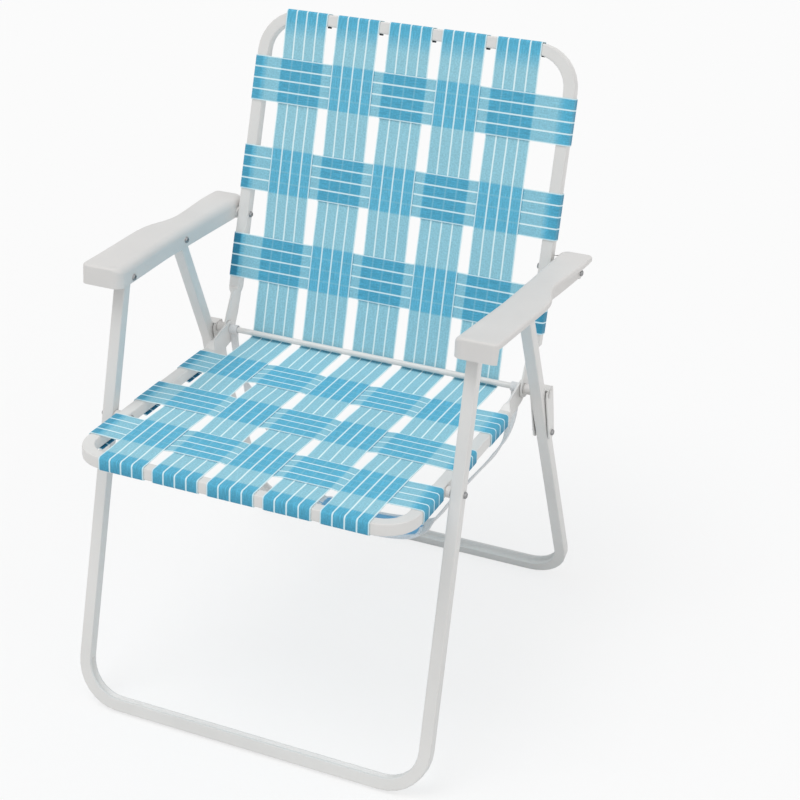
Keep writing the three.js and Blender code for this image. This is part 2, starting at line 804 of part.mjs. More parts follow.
// A long strap is extruded across X, then slanted a little so that it meets each end at its own place
function longStrap(line, place, x_at_rod, x_at_end, reach) {
  const geometry = new THREE.ExtrudeGeometry(ribbon(line, web_thickness), {
    depth: web_width,
    bevelEnabled: false,
  });
  const { position } = geometry.attributes;
  for (let i = 0; i < position.count; i += 1) {
    const along = position.getX(i);
    const share = THREE.MathUtils.clamp(along / reach, 0, 1);
    const x = THREE.MathUtils.lerp(x_at_rod, x_at_end, share) - half_web + position.getZ(i);
    const at = place(x, along, position.getY(i));
    position.setXYZ(i, at.x, at.y, at.z);
  }
  return oriented(geometry);
}

function oriented(geometry) {
  const plain = geometry.clone();
  plain.deleteAttribute('normal');
  plain.deleteAttribute('uv');
  const merged = mergeVertices(plain, weld);
  return signedVolume(merged) < 0 ? flipped(merged) : merged;
}

const back_level = tube_offset - half_tube - off_tube;
const seat_level = -back_level;
for (let strap = 0; strap < long_count; strap += 1) {
  const step = strap - middle_strap;
  const at_rod = step * long_pitch_at_rod;
  const crossings = back_rows.map((row, i) => [row, overAt(strap, i + 1)]);
  const line = roundedLine([
    [gap / 2, long_rod_radius],
    [half_tube, long_rod_radius],
    ...waveLine(crossings, half_web, back_level, weave_lift),
    [back_height - web_lead, back_level],
    ...wrapRound(back_level, back_height, tube_offset, 1, 1),
  ]);
  const at_top = step * long_pitch_at_top + long_shift_at_top;
  add(back, `back_web_${strap + 1}`, longStrap(line, onBack, at_rod, at_top, back_height), 'web');

  // The seat's length starts behind the rod, so that the strap can be drawn round it
  const seat_crossings = seat_rows.map((row, i) => [row, overAt(strap, i + 1)]);
  const bend = Math.PI / 2 + rise - lean_back - gap / long_rod_radius;
  const round_rod = rod_turn_shares.map((share) => [
    -long_rod_radius * Math.sin(bend * share),
    -long_rod_radius * Math.cos(bend * share),
  ]);
  const seat_line = roundedLine([
    ...round_rod,
    ...waveLine(seat_crossings, half_web, seat_level, weave_lift),
    [seat_depth - web_lead, seat_level],
    ...wrapRound(seat_level, seat_depth, -tube_offset, 1, -1),
  ]);
  const at_front = step * long_pitch_at_front;
  add(seat, `seat_web_${strap + 1}`, longStrap(seat_line, onSeat, at_rod, at_front, seat_depth), 'web');
}

// Cross straps go over and under the long ones and wrap both side tubes
function crossStrap(row, half_width, level, middle_out, out_sign, places, overs, place) {
  const reach = half_tube + off_tube;
  const far = half_width + reach;
  const back_side = middle_out + out_sign * reach;
  const end = far - web_tail;
  const crossings = places.map((x, i) => [x, overs[i]]);
  const line = roundedLine([
    [-end, back_side],
    [-far, back_side, web_round],
    [-far, level, web_round],
    [-half_width + half_tube, level],
    ...waveLine(crossings, half_web, level, weave_lift),
    [half_width - half_tube, level],
    [far, level, web_round],
    [far, back_side, web_round],
    [end, back_side],
  ]);
  const geometry = new THREE.ExtrudeGeometry(ribbon(line, web_thickness), {
    depth: web_width,
    bevelEnabled: false,
  });
  const { position } = geometry.attributes;
  for (let i = 0; i < position.count; i += 1) {
    const at = place(position.getX(i), row - half_web + position.getZ(i), position.getY(i));
    position.setXYZ(i, at.x, at.y, at.z);
  }
  return oriented(geometry);
}

// Places of the long straps at a height up the back or a distance along the seat
function strapPlaces(end_pitch, end_shift, share) {
  const pitch = THREE.MathUtils.lerp(long_pitch_at_rod, end_pitch, share);
  return Array.from({ length: long_count }, (_, i) => (i - middle_strap) * pitch + end_shift * share);
}

back_rows.forEach((row, i) => {
  const places = strapPlaces(long_pitch_at_top, long_shift_at_top, row / back_height);
  const overs = places.map((_, strap) => -overAt(strap, i + 1));
  const geometry = crossStrap(row, back_half, back_level, tube_offset, 1, places, overs, onBack);
  add(back, `back_cross_web_${i + 1}`, geometry, 'web');
});
seat_rows.forEach((row, i) => {
  const places = strapPlaces(long_pitch_at_front, 0, row / seat_depth);
  const overs = places.map((_, strap) => -overAt(strap, i + 1));
  const geometry = crossStrap(row, seat_half, seat_level, -tube_offset, -1, places, overs, onSeat);
  add(seat, `seat_cross_web_${i + 1}`, geometry, 'web');
});

// Carry strap: a flat band that hangs from the rod, turning from edge-on to flat at the pad
function carryRoute() {
  const right = strap_route.map(([x, below]) => new THREE.Vector3(x, 0, -below));
  const left = right.map((at) => new THREE.Vector3(-at.x, at.y, at.z)).reverse();
  const last = right[right.length - 1];
  const bottom = new THREE.Vector3(0, 0, last.z - pad_sag);
  return new THREE.CatmullRomCurve3([...right, bottom, ...left], false, 'centripetal');
}

function bandRing(at, tangent, turn, half_width, half_thickness) {
  const across = new THREE.Vector3(0, 1, 0);
  const flat = new THREE.Vector3().crossVectors(across, tangent).normalize();
  const wide = flat.clone().multiplyScalar(Math.cos(turn)).addScaledVector(across, Math.sin(turn));
  const thick = new THREE.Vector3().crossVectors(tangent, wide);
  return [[1, 1], [-1, 1], [-1, -1], [1, -1]].map(([a, b]) => at.clone()
    .addScaledVector(wide, a * half_width)
    .addScaledVector(thick, b * half_thickness));
}

const carry_route = carryRoute();
const carry_length = carry_route.getLength();
const pad_share = pad_length / carry_length;
function carryBand(from, to, steps, sizeAt) {
  const rings = [];
  for (let i = 0; i <= steps; i += 1) {
    const share = THREE.MathUtils.lerp(from, to, i / steps);
    const at = carry_route.getPointAt(share);
    const tangent = carry_route.getTangentAt(share);
    const from_end = Math.min(share, 1 - share);
    const { half_width, half_thickness, turn } = sizeAt(from_end, i / steps);
    rings.push(bandRing(at, tangent, share < 0.5 ? turn : Math.PI - turn, half_width, half_thickness));
  }
  return loft(rings);
}

const strap_band = carryBand(0, 1, carry_steps, (from_end) => {
  const widening = THREE.MathUtils.smoothstep(from_end, loop_share, wide_share);
  const turned_by = THREE.MathUtils.smoothstep(from_end, loop_share, flat_share);
  return {
    half_width: THREE.MathUtils.lerp(strap_loop_width, strap_width, widening) / 2,
    half_thickness: strap_thickness / 2,
    turn: (turned_by * Math.PI) / 2,
  };
});
const loop_middle = strap_route[0][0];
const loop_inner = roundFit(rod_radius);
const strap_loops = [-1, 1].map((side) => {
  const from = side * loop_middle - strap_loop_width / 2;
  const to = side * loop_middle + strap_loop_width / 2;
  return roundBar(from, to, loop_inner + strap_loop_thickness);
});
const loop_bores = [-1, 1].map((side) => {
  const from = side * loop_middle - strap_width;
  const to = side * loop_middle + strap_width;
  return roundBar(from, to, loop_inner);
});
add(hanging, 'carry_strap', cut(join([strap_band, ...strap_loops]), loop_bores), 'strap');

function carryPad() {
  const half = pad_share / 2;
  const outer = carryBand(0.5 - half, 0.5 + half, pad_steps, (from_end, share) => {
    const from_pad_end = Math.min(share, 1 - share) * 2;
    const fullness = Math.sqrt(THREE.MathUtils.clamp(from_pad_end / pad_end_share, pad_least_share, 1));
    return {
      half_width: (pad_width / 2) * THREE.MathUtils.lerp(pad_narrow_share, 1, fullness),
      half_thickness: (pad_thickness / 2) * fullness,
      turn: Math.PI / 2,
    };
  });
  const through = half * pad_slot_share;
  const slot = carryBand(0.5 - through, 0.5 + through, pad_steps, () => ({
    half_width: strap_width / 2 + gap,
    half_thickness: strap_thickness / 2 + gap,
    turn: Math.PI / 2,
  }));
  return cut(outer, [slot]);
}
add(hanging, 'carry_pad', carryPad(), 'pad');

// The origin goes under the middle of the whole box
const box = new THREE.Box3().setFromObject(chair, true);
chair.position.y = -(box.min.y + box.max.y) / 2;

export default chair;
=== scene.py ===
import json
import math
from contextlib import contextmanager
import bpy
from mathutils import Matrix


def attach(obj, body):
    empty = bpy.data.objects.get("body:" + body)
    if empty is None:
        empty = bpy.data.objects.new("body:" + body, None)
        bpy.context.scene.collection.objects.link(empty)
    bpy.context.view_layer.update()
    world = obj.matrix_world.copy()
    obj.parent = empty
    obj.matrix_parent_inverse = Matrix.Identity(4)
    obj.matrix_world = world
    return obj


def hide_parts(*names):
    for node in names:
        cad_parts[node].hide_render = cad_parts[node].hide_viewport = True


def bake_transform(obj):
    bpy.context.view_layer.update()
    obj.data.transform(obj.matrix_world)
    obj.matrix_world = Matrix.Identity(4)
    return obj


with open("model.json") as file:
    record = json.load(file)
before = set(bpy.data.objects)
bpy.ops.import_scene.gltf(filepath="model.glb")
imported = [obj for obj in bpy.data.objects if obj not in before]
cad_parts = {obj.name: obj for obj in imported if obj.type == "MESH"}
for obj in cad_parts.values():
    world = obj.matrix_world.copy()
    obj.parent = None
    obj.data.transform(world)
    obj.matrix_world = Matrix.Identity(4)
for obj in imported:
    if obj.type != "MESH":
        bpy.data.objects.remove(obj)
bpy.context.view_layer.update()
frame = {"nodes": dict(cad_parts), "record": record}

from types import SimpleNamespace

import bmesh
import bpy
from bpy.props import FloatProperty, FloatVectorProperty, PointerProperty
from bpy.types import Operator, Panel, PropertyGroup
from mathutils import Matrix, Vector

bl_info = {
    "name": "Folding Lawn Chair",
    "version": (1, 0, 0),
    "blender": (4, 5, 0),
    "location": "View3D > Sidebar > Lawn Chair",
    "description": "Dresses the folding lawn chair with webbing, paint, arms, rivets and its carry strap",
    "category": "Object",
}

JOINTS = {joint["name"]: joint for joint in frame["record"]["behaviour"]["joints"]}
HINGE = Vector(JOINTS["seat_fold"]["pos_m"])
ARM_PIN = Vector(JOINTS["arm_fold"]["pos_m"])

# The chair's own sizes, in metres and radians, as the solids have them
BACK_LEAN = math.radians(19)
SEAT_RISE = math.radians(4)
BACK_HEIGHT = 0.4348
SEAT_DEPTH = 0.391
TUBE = 0.016
TUBE_CORNER = 0.0025
TUBE_OFFSET = 0.016
LEG_HALVES = {"front_legs": 0.235, "rear_legs": 0.241}
LEG_BEND = 0.053

# What the solids leave to this script: the creases in the legs' bends, the hinge brackets' cap, up from
# the hinge (the solid's, then the real one's), the shares and hollows of the rivets' heads, and the
# screws, whose place is beside a strap, below the top bar and ahead of its middle
CREASE_DEPTH = 0.0034
SOLID_CAP_UNDER = 0.0128
CAP_UNDER = 0.0056
CAP_THICK = 0.0018
HEAD_SHARE = 0.88
HOLLOW_RIM = 0.0008
HOLLOW_DEPTH = 0.0011
SCREW_RADIUS = 0.0028
SCREW_LENGTH = 0.0022
SCREW_PLACE = (0.0024, 0.0010, 0.0038)

# The webbing: the long straps' pitch, the middle line of a strap out from the middle of a tube and
# round the tube's corners, and how a strap rises and falls where it crosses others
LONG_COUNT = 5
PITCH_AT_ROD = 0.0745
ROD_RADIUS = 0.0072
STRAP_LIFT = TUBE / 2 + 0.0008
TURN_RADIUS = TUBE_CORNER + 0.0008
TURN_INSET = TUBE / 2 - TUBE_CORNER
STRAP_TAIL = 0.014
STRAP_COLUMNS = (0.0, 0.04, 0.25, 0.5, 0.75, 0.96, 1.0)
BAND_COLUMNS = (0.0, 0.06, 0.3, 0.5, 0.7, 0.94, 1.0)
STATION_STEP = 0.006
WEAVE_LIFT = 0.0007
WEAVE_RUN_OUT = 0.030
SOFT_EDGE = 0.0011
# How far down the back the painted shade below the top bar fades out
SHADE_FADE = 0.022

# The armrest, along the arm ahead of its rear pin, sideways, and up from the line of its pins
ARM_TILT = math.radians(5.78)
ARM_REAR = 0.021
ARM_FRONT = 0.331
ARM_TOP = 0.0195
ARM_DEPTH = 0.0255
ARM_LIP = 0.0062
ARM_WALL = 0.0024
ARM_INNER_FILLET = 0.0100
ARM_EDGE_FILLET = 0.0030
ARM_LUG_FACE = 0.2652
# The rivets' heads that sit on its walls: past the first place, and short of the second
OUTER_HEAD = 0.255
INNER_HEAD = 0.2235
INNER_HEAD_SHIFT = -0.0026
# Bosses round its pins, as (start, end, ahead of the rear pin, up)
ARM_BOSS_RADIUS = 0.008
ARM_BOSSES = (
    (0.2263, 0.2310, 0, 0), (0.2615, ARM_LUG_FACE, 0, 0),
    (0.2433, 0.2516, 0.29528, 0), (0.2493, 0.2516, 0.14865, 0.004),
)
# Places on its edges and its outer wall, as (ahead of the rear pin, sideways)
ARM_INNER_EDGE = (
    (-0.030, 0.2294), (0.080, 0.2284), (0.149, 0.2274), (0.200, 0.2260), (0.260, 0.2220), (0.340, 0.2166),
)
ARM_OUTER_EDGE = (
    (-0.030, 0.2745), (0.022, 0.2743), (0.062, 0.2706), (0.098, 0.2676), (0.116, 0.2676),
    (0.136, 0.2718), (0.156, 0.2782), (0.174, 0.2808), (0.200, 0.2806), (0.265, 0.2772), (0.340, 0.2738),
)
ARM_WALL_LINE = (
    (-0.020, 0.2645), (0.010, 0.2643), (0.060, 0.2620), (0.100, 0.2594), (0.130, 0.2556),
    (0.145, 0.2529), (0.165, 0.2523), (0.340, 0.2523),
)

# The carry strap: half of its route, sideways and below the hinge
CARRY_ROUTE = (
    (0.205, 0.005), (0.2045, 0.022), (0.200, 0.054), (0.190, 0.084), (0.175, 0.113),
    (0.153, 0.144), (0.128, 0.180), (0.105, 0.216), (0.084, 0.243),
)
PAD_SAG = 0.016
PAD_LENGTH = 0.162
PAD_WIDTH = 0.038
PAD_THICKNESS = 0.009
PAD_TILT = math.radians(24)
BAND_TILT = math.radians(9)
LOOP_RADIUS = 0.0055
LOOP_THICK = 0.0014
# Shares of its length, from either end, over which the band turns flat, widens and takes its tilts
TURN_SPAN = (0.035, 0.14)
WIDEN_SPAN = (0.07, 0.14)
BAND_TILT_SPAN = (0.08, 0.18)
PAD_TILT_SPAN = (0.345, 0.39)
DEPTHWAYS = Vector((0, 1, 0))

# The photograph's camera: its turns in degrees, its place from below the hinge, and pixels
CAMERA_TURNS = (24.444, 23.856, -0.369)
CAMERA_PLACE = (-0.013475, 0.502076, 2.657)
CAMERA_FOCAL = 1881
CAMERA_CENTRE = (359.6, 229.67)
PICTURE = 800


def srgb(red, green, blue):
    """A colour as read from a picture, 0 to 255, as linear light."""
    def linear(value):
        share = value / 255
        return share / 12.92 if share <= 0.04045 else ((share + 0.055) / 1.055) ** 2.4
    return (linear(red), linear(green), linear(blue))


# Settings that a user would change
def colour_setting(name, description, default):
    return FloatVectorProperty(
        name=name, description=description, subtype="COLOR", size=3, min=0, max=1, default=default
    )


def length_setting(name, description, default, least):
    return FloatProperty(name=name, description=description, default=default, min=least, unit="LENGTH")


def strength_setting(name, description, default, most=10):
    return FloatProperty(name=name, description=description, default=default, min=0, max=most)


class LawnChairWebbing(PropertyGroup):
    """Sizes and colours of the woven straps"""
    width: length_setting("Width", "Width of one strap", 0.061, 0.02)
    thickness: length_setting("Thickness", "Thickness of one strap", 0.0009, 0.0003)
    line: length_setting("Line", "Width of each white line", 0.0020, 0.0002)
    rim: length_setting("Rim", "Width of the pale edge", 0.0014, 0.0002)
    # Painted light and shade on the webbing: the single colour is light coming through one layer, the double
    # colour is painted shade where two crossing layers let less light through, and the wrapped colour is
    # painted shade where a strap lies doubled on a tube, out of the light. The white of the lines and edges
    # is the straps' own colour.
    single: colour_setting("Single", "Colour where light comes through one layer", srgb(149, 203, 219))
    double: colour_setting("Double", "Colour where two straps cross", srgb(88, 178, 210))
    wrapped_shade: colour_setting("Wrapped", "Colour where a strap lies on a tube", srgb(24, 118, 154))
    white: colour_setting("White", "Colour of the lines and edges", srgb(226, 247, 251))


class LawnChairFinish(PropertyGroup):
    """Colours of the frame, arms and fastenings"""
    paint: colour_setting("Paint", "Powder coat on the tubes", srgb(222, 221, 219))
    arm: colour_setting("Arm", "Moulded plastic of the arms", srgb(217, 215, 213))
    rivet: colour_setting("Rivet", "Plated rivets", srgb(156, 156, 157))
    # The screw colour is the screws' dark oxide, and it is also painted as shade on the floors of the
    # rivets' hollows.
    screw: colour_setting("Screw", "Dark screws and the hollows of the rivets", srgb(48, 54, 57))


class LawnChairCarry(PropertyGroup):
    """Sizes and colours of the carry strap"""
    width: length_setting("Width", "Width of the band", 0.025, 0.01)
    loop_width: length_setting("Loop width", "Width of the loops on the rod", 0.011, 0.004)
    thickness: length_setting("Thickness", "Thickness of the band", 0.0018, 0.0005)
    band: colour_setting("Band", "Colour of the band", srgb(222, 223, 224))
    pad: colour_setting("Pad", "Colour of the pad's cloth", srgb(122, 184, 224))
    edge: colour_setting("Edge", "Colour of the pad's rim", srgb(226, 232, 238))


class LawnChairStage(PropertyGroup):
    """Light and floor"""
    floor: colour_setting("Floor", "Colour of the floor", (0.86, 0.86, 0.86))
    whiten: strength_setting("Whiten", "How far the camera sees the floor as white", 0.72, 1)
    world: strength_setting("World", "Strength of the even light", 0.62)
    key: strength_setting("Key", "Strength of the soft key light", 1.12)
    fill: strength_setting("Fill", "Strength of the soft fill light", 0.42)


# Node materials
def new_material(name):
    material = bpy.data.materials.new(name)
    material.use_nodes = True
    nodes = material.node_tree.nodes
    return material, material.node_tree, nodes["Principled BSDF"]


def add_node(tree, kind, **values):
    node = tree.nodes.new(kind)
    for key, value in values.items():
        setattr(node, key, value)
    return node


def link(tree, out_socket, in_socket):
    tree.links.new(out_socket, in_socket)


def set_sockets(shader, **values):
    for name, value in values.items():
        shader.inputs[name.replace("_", " ")].default_value = value


def math_node(tree, operation, first, second=None):
    node = add_node(tree, "ShaderNodeMath", operation=operation)
    for socket, value in zip(node.inputs, (first, second)):
        if value is None:
            continue
        if isinstance(value, (int, float)):
            socket.default_value = value
        else:
            link(tree, value, socket)
    return node.outputs[0]


def mix_colours(tree, factor, first, second):
    node = add_node(tree, "ShaderNodeMix", data_type="RGBA")
    for index, value in ((0, factor), (6, first), (7, second)):
        socket = node.inputs[index]
        if isinstance(value, (int, float)):
            socket.default_value = value
        elif isinstance(value, tuple):
            socket.default_value = (*value, 1)
        else:
            link(tree, value, socket)
    return node.outputs[2]


def noise_on(tree, vector, scale, detail=3, roughness=0.5):
    node = add_node(tree, "ShaderNodeTexNoise")
    set_sockets(node, Scale=scale, Detail=detail, Roughness=roughness)
    link(tree, vector, node.inputs["Vector"])
    return node.outputs["Fac"]


def ranged(tree, value, low, high, to_low, to_high):
    node = add_node(tree, "ShaderNodeMapRange", clamp=True)
    link(tree, value, node.inputs["Value"])
    for socket, number in zip(node.inputs[1:5], (low, high, to_low, to_high)):
        socket.default_value = number
    return node.outputs["Result"]


def scaled_by(tree, vector, share):
    node = add_node(tree, "ShaderNodeVectorMath", operation="SCALE")
    if isinstance(vector, tuple):
        node.inputs[0].default_value = vector
    else:
        link(tree, vector, node.inputs[0])
    link(tree, share, node.inputs["Scale"])
    return node.outputs[0]


def bump_into(tree, shader, height, strength, distance=0.0002):
    node = add_node(tree, "ShaderNodeBump")
    set_sockets(node, Strength=strength, Distance=distance)
    link(tree, height, node.inputs["Height"])
    link(tree, node.outputs["Normal"], shader.inputs["Normal"])


def mottled(name, colour, noise, shades, **values):
    """A finish of one colour that drifts a little from place to place."""
    material, tree, shader = new_material(name)
    place = add_node(tree, "ShaderNodeTexCoord").outputs["Object"]
    shade = ranged(tree, noise_on(tree, place, *noise), *shades)
    link(tree, scaled_by(tree, tuple(colour), shade), shader.inputs["Base Color"])
    set_sockets(shader, **values)
    return material, tree, shader, place


def coated_metal(name, colour):
    """White powder coat: a faint orange peel and a slight change of tone along the tubes."""
    material, tree, shader, place = mottled(
        name, colour, (9, 2), (0.3, 0.7, 0.965, 1.02),
        Roughness=0.36, Specular_IOR_Level=0.45, Coat_Weight=0.12, Coat_Roughness=0.22,
    )
    bump_into(tree, shader, noise_on(tree, place, 900, 2), 0.10, 0.0003)
    return material


def moulded_plastic(name, colour):
    """Light grey moulded plastic with a fine matt grain."""
    material, tree, shader, place = mottled(
        name, colour, (14, 3), (0.3, 0.7, 0.97, 1.015), Roughness=0.52, Specular_IOR_Level=0.4
    )
    grain = add_node(tree, "ShaderNodeTexVoronoi")
    set_sockets(grain, Scale=1400)
    link(tree, place, grain.inputs["Vector"])
    bump_into(tree, shader, grain.outputs["Distance"], 0.16)
    return material


def plated_metal(name, colour, roughness, metallic):
    """Zinc plate or dark oxide, with fine turning marks."""
    material, tree, shader, place = mottled(
        name, colour, (260, 4), (0.25, 0.75, 0.8, 1.1), Metallic=metallic, Roughness=roughness
    )
    bump_into(tree, shader, noise_on(tree, place, 1500, 2), 0.12)
    return material


def weave_axes(tree):
    """The places across a woven piece, from 0 to 1, and along it, in metres, from its own map."""
    coordinates = add_node(tree, "ShaderNodeUVMap", uv_map="Weave")
    axes = add_node(tree, "ShaderNodeSeparateXYZ")
    link(tree, coordinates.outputs["UV"], axes.inputs[0])
    return axes.outputs[0], axes.outputs[1]


def noise_on_weave(tree, axes, scales, detail, roughness):
    """Noise that is drawn out along the yarns: the scales are across the piece and along it."""
    node = add_node(tree, "ShaderNodeCombineXYZ")
    for axis, scale, socket in zip(axes, scales, node.inputs):
        link(tree, math_node(tree, "MULTIPLY", axis, scale), socket)
    return noise_on(tree, node.outputs[0], 1.0, detail, roughness)


def bump_weave(tree, shader, axes, counts, strength):
    """The weave itself: waves across the piece and along it, as counts for each unit of its map."""
    waves = [
        math_node(tree, "SINE", math_node(tree, "MULTIPLY", axis, count * math.tau))
        for axis, count in zip(axes, counts)
    ]
    bump_into(tree, shader, math_node(tree, "MULTIPLY", *waves), strength)


def to_quarter(tree, across):
    """How far a place is from the nearest of three lines and two edges, four times over."""
    return math_node(tree, "PINGPONG", math_node(tree, "MULTIPLY", across, 4), 0.5)


def woven_webbing(name, settings):
    """Blue bands with white lines. The strap's own map gives the place across and along it."""
    material, tree, shader = new_material(name)
    across, along = weave_axes(tree)
    # The attribute read here is painted light and shade along each strap: 0 where light comes through one
    # layer, 0.5 at a crossing, up to 1 where a strap lies in shade on a tube.
    tone = add_node(tree, "ShaderNodeAttribute", attribute_name="PaintedShade").outputs["Fac"]
    under = add_node(tree, "ShaderNodeAttribute", attribute_name="Under").outputs["Fac"]
    single, double, white = tuple(settings.single), tuple(settings.double), tuple(settings.white)

    half_line = settings.line / settings.width * 2
    inner_line = ranged(tree, to_quarter(tree, across), half_line * 0.75, half_line * 1.25, 1, 0)
    rim_share = settings.rim / settings.width
    to_edge = math_node(tree, "PINGPONG", across, 0.5)
    rim = ranged(tree, to_edge, rim_share * 0.6, rim_share * 1.3, 0.85, 0)
    line = math_node(tree, "MAXIMUM", inner_line, rim)
    # Painted light: at a crossing, the other strap's white lines show through the strap as paler bands.
    seen_under = math_node(tree, "GREATER_THAN", under, -0.001)
    under_line = ranged(tree, to_quarter(tree, under), half_line * 0.6, half_line * 1.6, 0.3, 0)
    under_line = math_node(tree, "MULTIPLY", under_line, seen_under)

    # The ramp turns that painted shade into colour: single, then double, then the darkest wrapped colour.
    ramp = add_node(tree, "ShaderNodeValToRGB")
    stops = ramp.color_ramp.elements
    stops[0].color = (*single, 1)
    stops[1].color = (*settings.wrapped_shade, 1)
    stops.new(0.5).color = (*double, 1)
    link(tree, tone, ramp.inputs["Fac"])

    # Yarns that run along the strap, each a little lighter or darker than the next
    yarns = noise_on_weave(tree, (across, along), (95, 55), 3, 0.6)
    streak = ranged(tree, yarns, 0.25, 0.75, -1, 1)
    depth = ranged(tree, tone, 0, 0.6, 0.11, 0.30)
    beats = noise_on_weave(tree, (across, along), (26, 420), 2, 0.5)
    rough = ranged(tree, beats, 0.3, 0.7, 0.90, 1.10)
    streaked = math_node(tree, "ADD", math_node(tree, "MULTIPLY", streak, depth), 1)
    shaded = scaled_by(tree, ramp.outputs["Color"], math_node(tree, "MULTIPLY", streaked, rough))

    # Where those lines show through, the colour goes back towards the lighter single colour, as painted
    # light through the layers.
    soft = mix_colours(tree, under_line, shaded, single)
    # Painted shade on the white lines too: they darken towards the double colour where the strap's painted
    # shade is deep.
    shaded_white = mix_colours(tree, math_node(tree, "MULTIPLY", tone, 0.25), white, double)
    link(tree, mix_colours(tree, line, soft, shaded_white), shader.inputs["Base Color"])
    set_sockets(shader, Roughness=0.62, Specular_IOR_Level=0.3, Sheen_Weight=0.12, Sheen_Roughness=0.4)
    bump_weave(tree, shader, (across, along), (40, 500), 0.25)
    return material


def band_cloth(name, colour, edge, edge_share, counts):
    """Plain woven cloth with a paler rim, on the piece's own map."""
    material, tree, shader = new_material(name)
    axes = weave_axes(tree)
    to_edge = math_node(tree, "PINGPONG", axes[0], 0.5)
    rim = ranged(tree, to_edge, edge_share * 0.8, edge_share * 1.2, 1, 0)
    place = add_node(tree, "ShaderNodeTexCoord").outputs["Object"]
    drift = ranged(tree, noise_on(tree, place, 420, 4, 0.6), 0.25, 0.75, 0.9, 1.08)
    base = mix_colours(tree, rim, tuple(colour), tuple(edge))
    link(tree, scaled_by(tree, base, drift), shader.inputs["Base Color"])
    set_sockets(shader, Roughness=0.75, Specular_IOR_Level=0.25, Sheen_Weight=0.15)
    bump_weave(tree, shader, axes, counts, 0.3)
    return material


def material_for(name, maker, *values):
    """Each finish is made once and then shared by the pieces that wear it."""
    return bpy.data.materials.get(name) or maker(name, *values)


def paint():
    return material_for("powder_coat", coated_metal, bpy.context.scene.lawn_chair_finish.paint)


def arm_plastic():
    return material_for("arm_plastic", moulded_plastic, bpy.context.scene.lawn_chair_finish.arm)


def rivet_metal():
    return material_for("rivet_plate", plated_metal, bpy.context.scene.lawn_chair_finish.rivet, 0.34, 0.85)


# Dark oxide of the screws, also used as painted shade on the floors of the rivets' hollows
def screw_metal_and_hollow_shade():
    return material_for("screw_oxide", plated_metal, bpy.context.scene.lawn_chair_finish.screw, 0.5, 0.6)


def webbing():
    return material_for("woven_webbing", woven_webbing, bpy.context.scene.lawn_chair_webbing)


# Work on meshes
def select_only(obj):
    bpy.ops.object.select_all(action="DESELECT")
    obj.select_set(True)
    bpy.context.view_layer.objects.active = obj


@contextmanager
def editing(obj, select="SELECT"):
    """Edit mode, with the whole mesh selected or, with DESELECT, none of it."""
    select_only(obj)
    bpy.ops.object.mode_set(mode="EDIT")
    bpy.ops.mesh.select_all(action=select)
    yield
    bpy.ops.object.mode_set(mode="OBJECT")


def added(name):
    """The object that the last operator made, under its own name."""
    obj = bpy.context.object
    obj.name = obj.data.name = name
    return obj


def wear(obj, material):
    obj.data.materials.clear()
    obj.data.materials.append(material)


def apply_modifier(obj, kind, **values):
    select_only(obj)
    modifier = obj.modifiers.new(kind.title(), kind)
    for key, value in values.items():
        setattr(modifier, key, value)
    bpy.ops.object.modifier_apply(modifier=modifier.name)


def smooth(obj, degrees=32):
    select_only(obj)
    bpy.ops.object.shade_smooth_by_angle(angle=math.radians(degrees), keep_sharp_edges=True)


def select_points(obj, test):
    """In edit mode, selects the points whose places pass the test."""
    mesh = bmesh.from_edit_mesh(obj.data)
    for vertex in mesh.verts:
        vertex.select_set(test(vertex.co))
    mesh.select_flush_mode()
    bmesh.update_edit_mesh(obj.data)


def select_faces(obj, test):
    """In edit mode, selects the faces whose middle and normal pass the test."""
    bpy.ops.mesh.select_mode(type="FACE")
    bpy.ops.mesh.select_all(action="DESELECT")
    mesh = bmesh.from_edit_mesh(obj.data)
    chosen = [face for face in mesh.faces if test(face.calc_center_median(), face.normal)]
    for face in chosen:
        face.select_set(True)
    mesh.select_flush_mode()
    bmesh.update_edit_mesh(obj.data)
    bpy.ops.mesh.select_mode(type="VERT")
    if not chosen:
        raise RuntimeError(f"{obj.name}: no face passes the test")


def merged_copy(node, name):
    """A copy of a solid with its loose triangles joined up and its flat faces made whole."""
    obj = bpy.data.objects.new(name, frame["nodes"][node].data.copy())
    bpy.context.collection.objects.link(obj)
    with editing(obj):
        bpy.ops.mesh.remove_doubles(threshold=0.00001)
        bpy.ops.mesh.dissolve_limited(angle_limit=math.radians(0.6))
        bpy.ops.mesh.customdata_custom_splitnormals_clear()
    return obj


def finish_metal(obj, node, body, material, degrees=32):
    smooth(obj, degrees)
    apply_modifier(obj, "WEIGHTED_NORMAL", keep_sharp=True, weight=60)
    wear(obj, material)
    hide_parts(node)
    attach(obj, body)


# Places on the chair
def back_point(x, run, out):
    """A place on the back: sideways, up along it and out behind it."""
    sine, cosine = math.sin(BACK_LEAN), math.cos(BACK_LEAN)
    return HINGE + Vector((x, run * sine + out * cosine, run * cosine - out * sine))


def seat_point(x, run, out):
    """A place on the seat: sideways, forward along it and out above it."""
    sine, cosine = math.sin(SEAT_RISE), math.cos(SEAT_RISE)
    return HINGE + Vector((x, -run * cosine + out * sine, run * sine + out * cosine))


def arm_point(x, run, up):
    """A place on the arms: sideways, ahead of the rear pin and up from the line of the pins."""
    sine, cosine = math.sin(ARM_TILT), math.cos(ARM_TILT)
    return ARM_PIN + Vector((x, -run * cosine + up * sine, run * sine + up * cosine))


def hermite(t, start, leave, end, arrive):
    """A place on the smooth curve between two points that has these slopes at its ends."""
    return (
        start * (2 * t**3 - 3 * t**2 + 1) + leave * (t**3 - 2 * t**2 + t)
        + end * (3 * t**2 - 2 * t**3) + arrive * (t**3 - t**2)
    )


